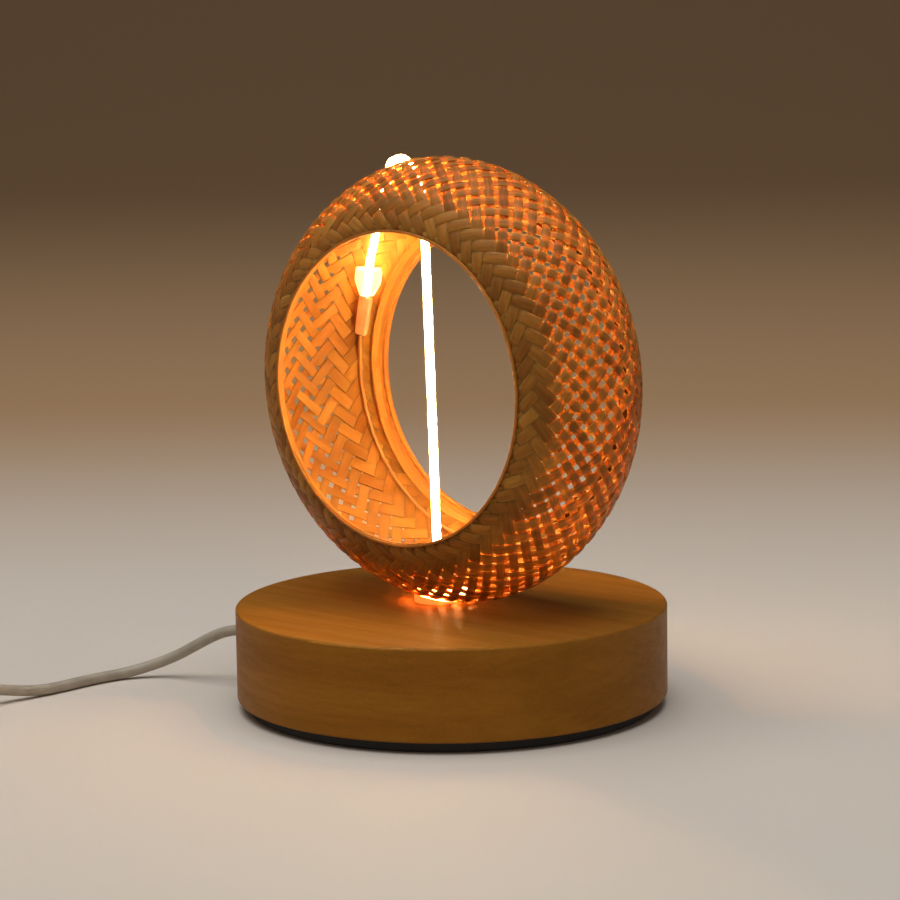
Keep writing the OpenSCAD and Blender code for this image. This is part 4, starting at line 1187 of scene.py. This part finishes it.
class LAMP_OT_filament(bpy.types.Operator):
    """Makes the lit filament with its sleeves."""

    bl_idname = "lamp.filament"
    bl_label = "Filament"

    def execute(self, context):
        light, ring = context.scene.lamp_light, context.scene.lamp_ring
        glow = glow_material("lit_filament", light.glow_colour, light.glow, fade=CORE_FADE)
        # The skin's faint glow is painted light: a soft orange halo round the lit core.
        skin = glow_material("filament_skin_halo", light.glow_colour, SKIN_HALO_GLOW, cover=SKIN_COVER)
        for name, diameter, material in (("light_core", light.core, glow), ("light_skin", light.thick, skin)):
            tube = new_tube(name, filament_route(ring), diameter, material)
            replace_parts(tube, "led_filament")
        top, end, joint_end = (wall_point(ring, *spot) for spot in (LEG_TOP, LEG_END, JOINT_END))
        pale_start = end - (end - top).normalized() * PALE_REACH
        flat_start = end + (joint_end - end).normalized() * SLEEVE_GAP
        pale = clear_material("clear_sleeve", (1.0, 0.88, 0.76))
        warm = skin_material("joint_sleeve", (0.72, 0.3, 0.12), (0.4, 0.55), fine=2400.0, broad=260.0)
        self.sleeve("pale_sleeve", "clear_sleeve", pale_start, end, PALE_SLEEVE, pale)
        self.sleeve("flat_sleeve", "joint_sleeve", flat_start, joint_end, FLAT_SLEEVE, warm)
        # Painted shade: the return lead is darker than the pale bamboo, to offset the filament's strong light
        # close by.
        shaded_honey = shade(context.scene.lamp_finish.bamboo_pale, 0.75)
        paint_node("return_lead", skin_material("honey_lead", shaded_honey, (0.45, 0.6)))
        return {"FINISHED"}

    def sleeve(self, name, node, start, end, size, material):
        """A flattened sleeve that tapers from wide to narrow after its straight length."""
        wide, narrow, straight = size["wide"], size["narrow"], size["straight"] * MM
        bm = bmesh.new()
        bmesh.ops.create_cube(bm, size=1.0)
        bmesh.ops.scale(bm, verts=bm.verts, vec=(wide[0] * MM, wide[1] * MM, straight))
        bmesh.ops.translate(bm, verts=bm.verts, vec=(0.0, 0.0, straight / 2))
        far = max(bm.faces, key=lambda face: face.calc_center_median().z)
        drawn = bmesh.ops.extrude_face_region(bm, geom=[far])["geom"]
        bmesh.ops.delete(bm, geom=[far], context="FACES_ONLY")
        tip = only(BMVert, drawn)
        bmesh.ops.translate(bm, verts=tip, vec=(0.0, 0.0, (end - start).length - straight))
        bmesh.ops.scale(bm, verts=tip, vec=(narrow[0] / wide[0], narrow[1] / wide[1], 1.0))
        ease_edges(bm, bm.edges[:], SLEEVE_EASE * MM, 3)
        bmesh.ops.transform(bm, verts=bm.verts, matrix=aimed(start, end, size["roll"]))
        bmesh.ops.recalc_face_normals(bm, faces=bm.faces)
        piece = new_piece(name, bm, material, sharp=60.0)
        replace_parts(piece, node)


# Switch and plug

# Widths over which their edges are eased
SHELL_EASE = 0.5 * MM
ROCKER_EASE = 0.25 * MM
GRIP_EASE = 0.45 * MM


class LAMP_OT_switch(bpy.types.Operator):
    """Eases the edges of the inline switch and gives it its finish."""

    bl_idname = "lamp.switch"
    bl_label = "Switch"

    def execute(self, context):
        shell = shell_material("switch_shell", context.scene.lamp_finish.shell)
        dark = skin_material("rocker_plastic", (0.17, 0.155, 0.14), (0.38, 0.5), fine=3600.0, broad=220.0)
        LAMP_OT_switch.made = [
            bevelled_copy("switch_lower_shell", "switch_bottom", SHELL_EASE, shell),
            bevelled_copy("switch_upper_shell", "switch_top", SHELL_EASE, shell),
            bevelled_copy("switch_rocker", "rocker", ROCKER_EASE, dark, "rocker")]
        return {"FINISHED"}


class LAMP_OT_plug(bpy.types.Operator):
    """Eases the edges of the plug and gives it its finish."""

    bl_idname = "lamp.plug"
    bl_label = "Plug"

    def execute(self, context):
        shell = shell_material("plug_moulding", context.scene.lamp_finish.shell)
        LAMP_OT_plug.made = [bevelled_copy("plug_body", "plug_grip", GRIP_EASE, shell)]
        return {"FINISHED"}


class LAMP_OT_declare_cords(bpy.types.Operator):
    """A step for the cords' real lengths and what is on them; it does nothing."""

    bl_idname = "lamp.declare_cords"
    bl_label = "State cords"

    def execute(self, context):
        return {"FINISHED"}


class LAMP_PT_pieces(bpy.types.Panel):
    """Lists the lamp's pieces."""

    bl_idname = "LAMP_PT_pieces"
    bl_label = "Bamboo Table Lamp"
    bl_space_type = "VIEW_3D"
    bl_region_type = "UI"
    bl_category = "Lamp"

    def draw(self, context):
        for operator in OPERATORS:
            self.layout.operator(operator.bl_idname)


GROUPS = {
    "lamp_ring": LampRing, "lamp_light": LampLight, "lamp_finish": LampFinish, "lamp_stage": LampStage}
OPERATORS = (
    LAMP_OT_stage, LAMP_OT_cords, LAMP_OT_base, LAMP_OT_weave, LAMP_OT_hoops, LAMP_OT_filament,
    LAMP_OT_switch, LAMP_OT_plug, LAMP_OT_declare_cords)


def register():
    """Makes the sizes, operators and panel known to Blender."""
    for name, group in GROUPS.items():
        bpy.utils.register_class(group)
        setattr(bpy.types.Scene, name, bpy.props.PointerProperty(type=group))
    for operator in OPERATORS:
        bpy.utils.register_class(operator)
    bpy.utils.register_class(LAMP_PT_pieces)


def unregister():
    """Takes the panel, operators and sizes out of Blender."""
    bpy.utils.unregister_class(LAMP_PT_pieces)
    for operator in reversed(OPERATORS):
        bpy.utils.unregister_class(operator)
    for name, group in reversed(GROUPS.items()):
        delattr(bpy.types.Scene, name)
        bpy.utils.unregister_class(group)


def main():
    """Makes every piece in order."""
    register()
    for operator in OPERATORS:
        group, name = operator.bl_idname.split(".")
        getattr(getattr(bpy.ops, group), name)()


if __name__ == "__main__":
    main()
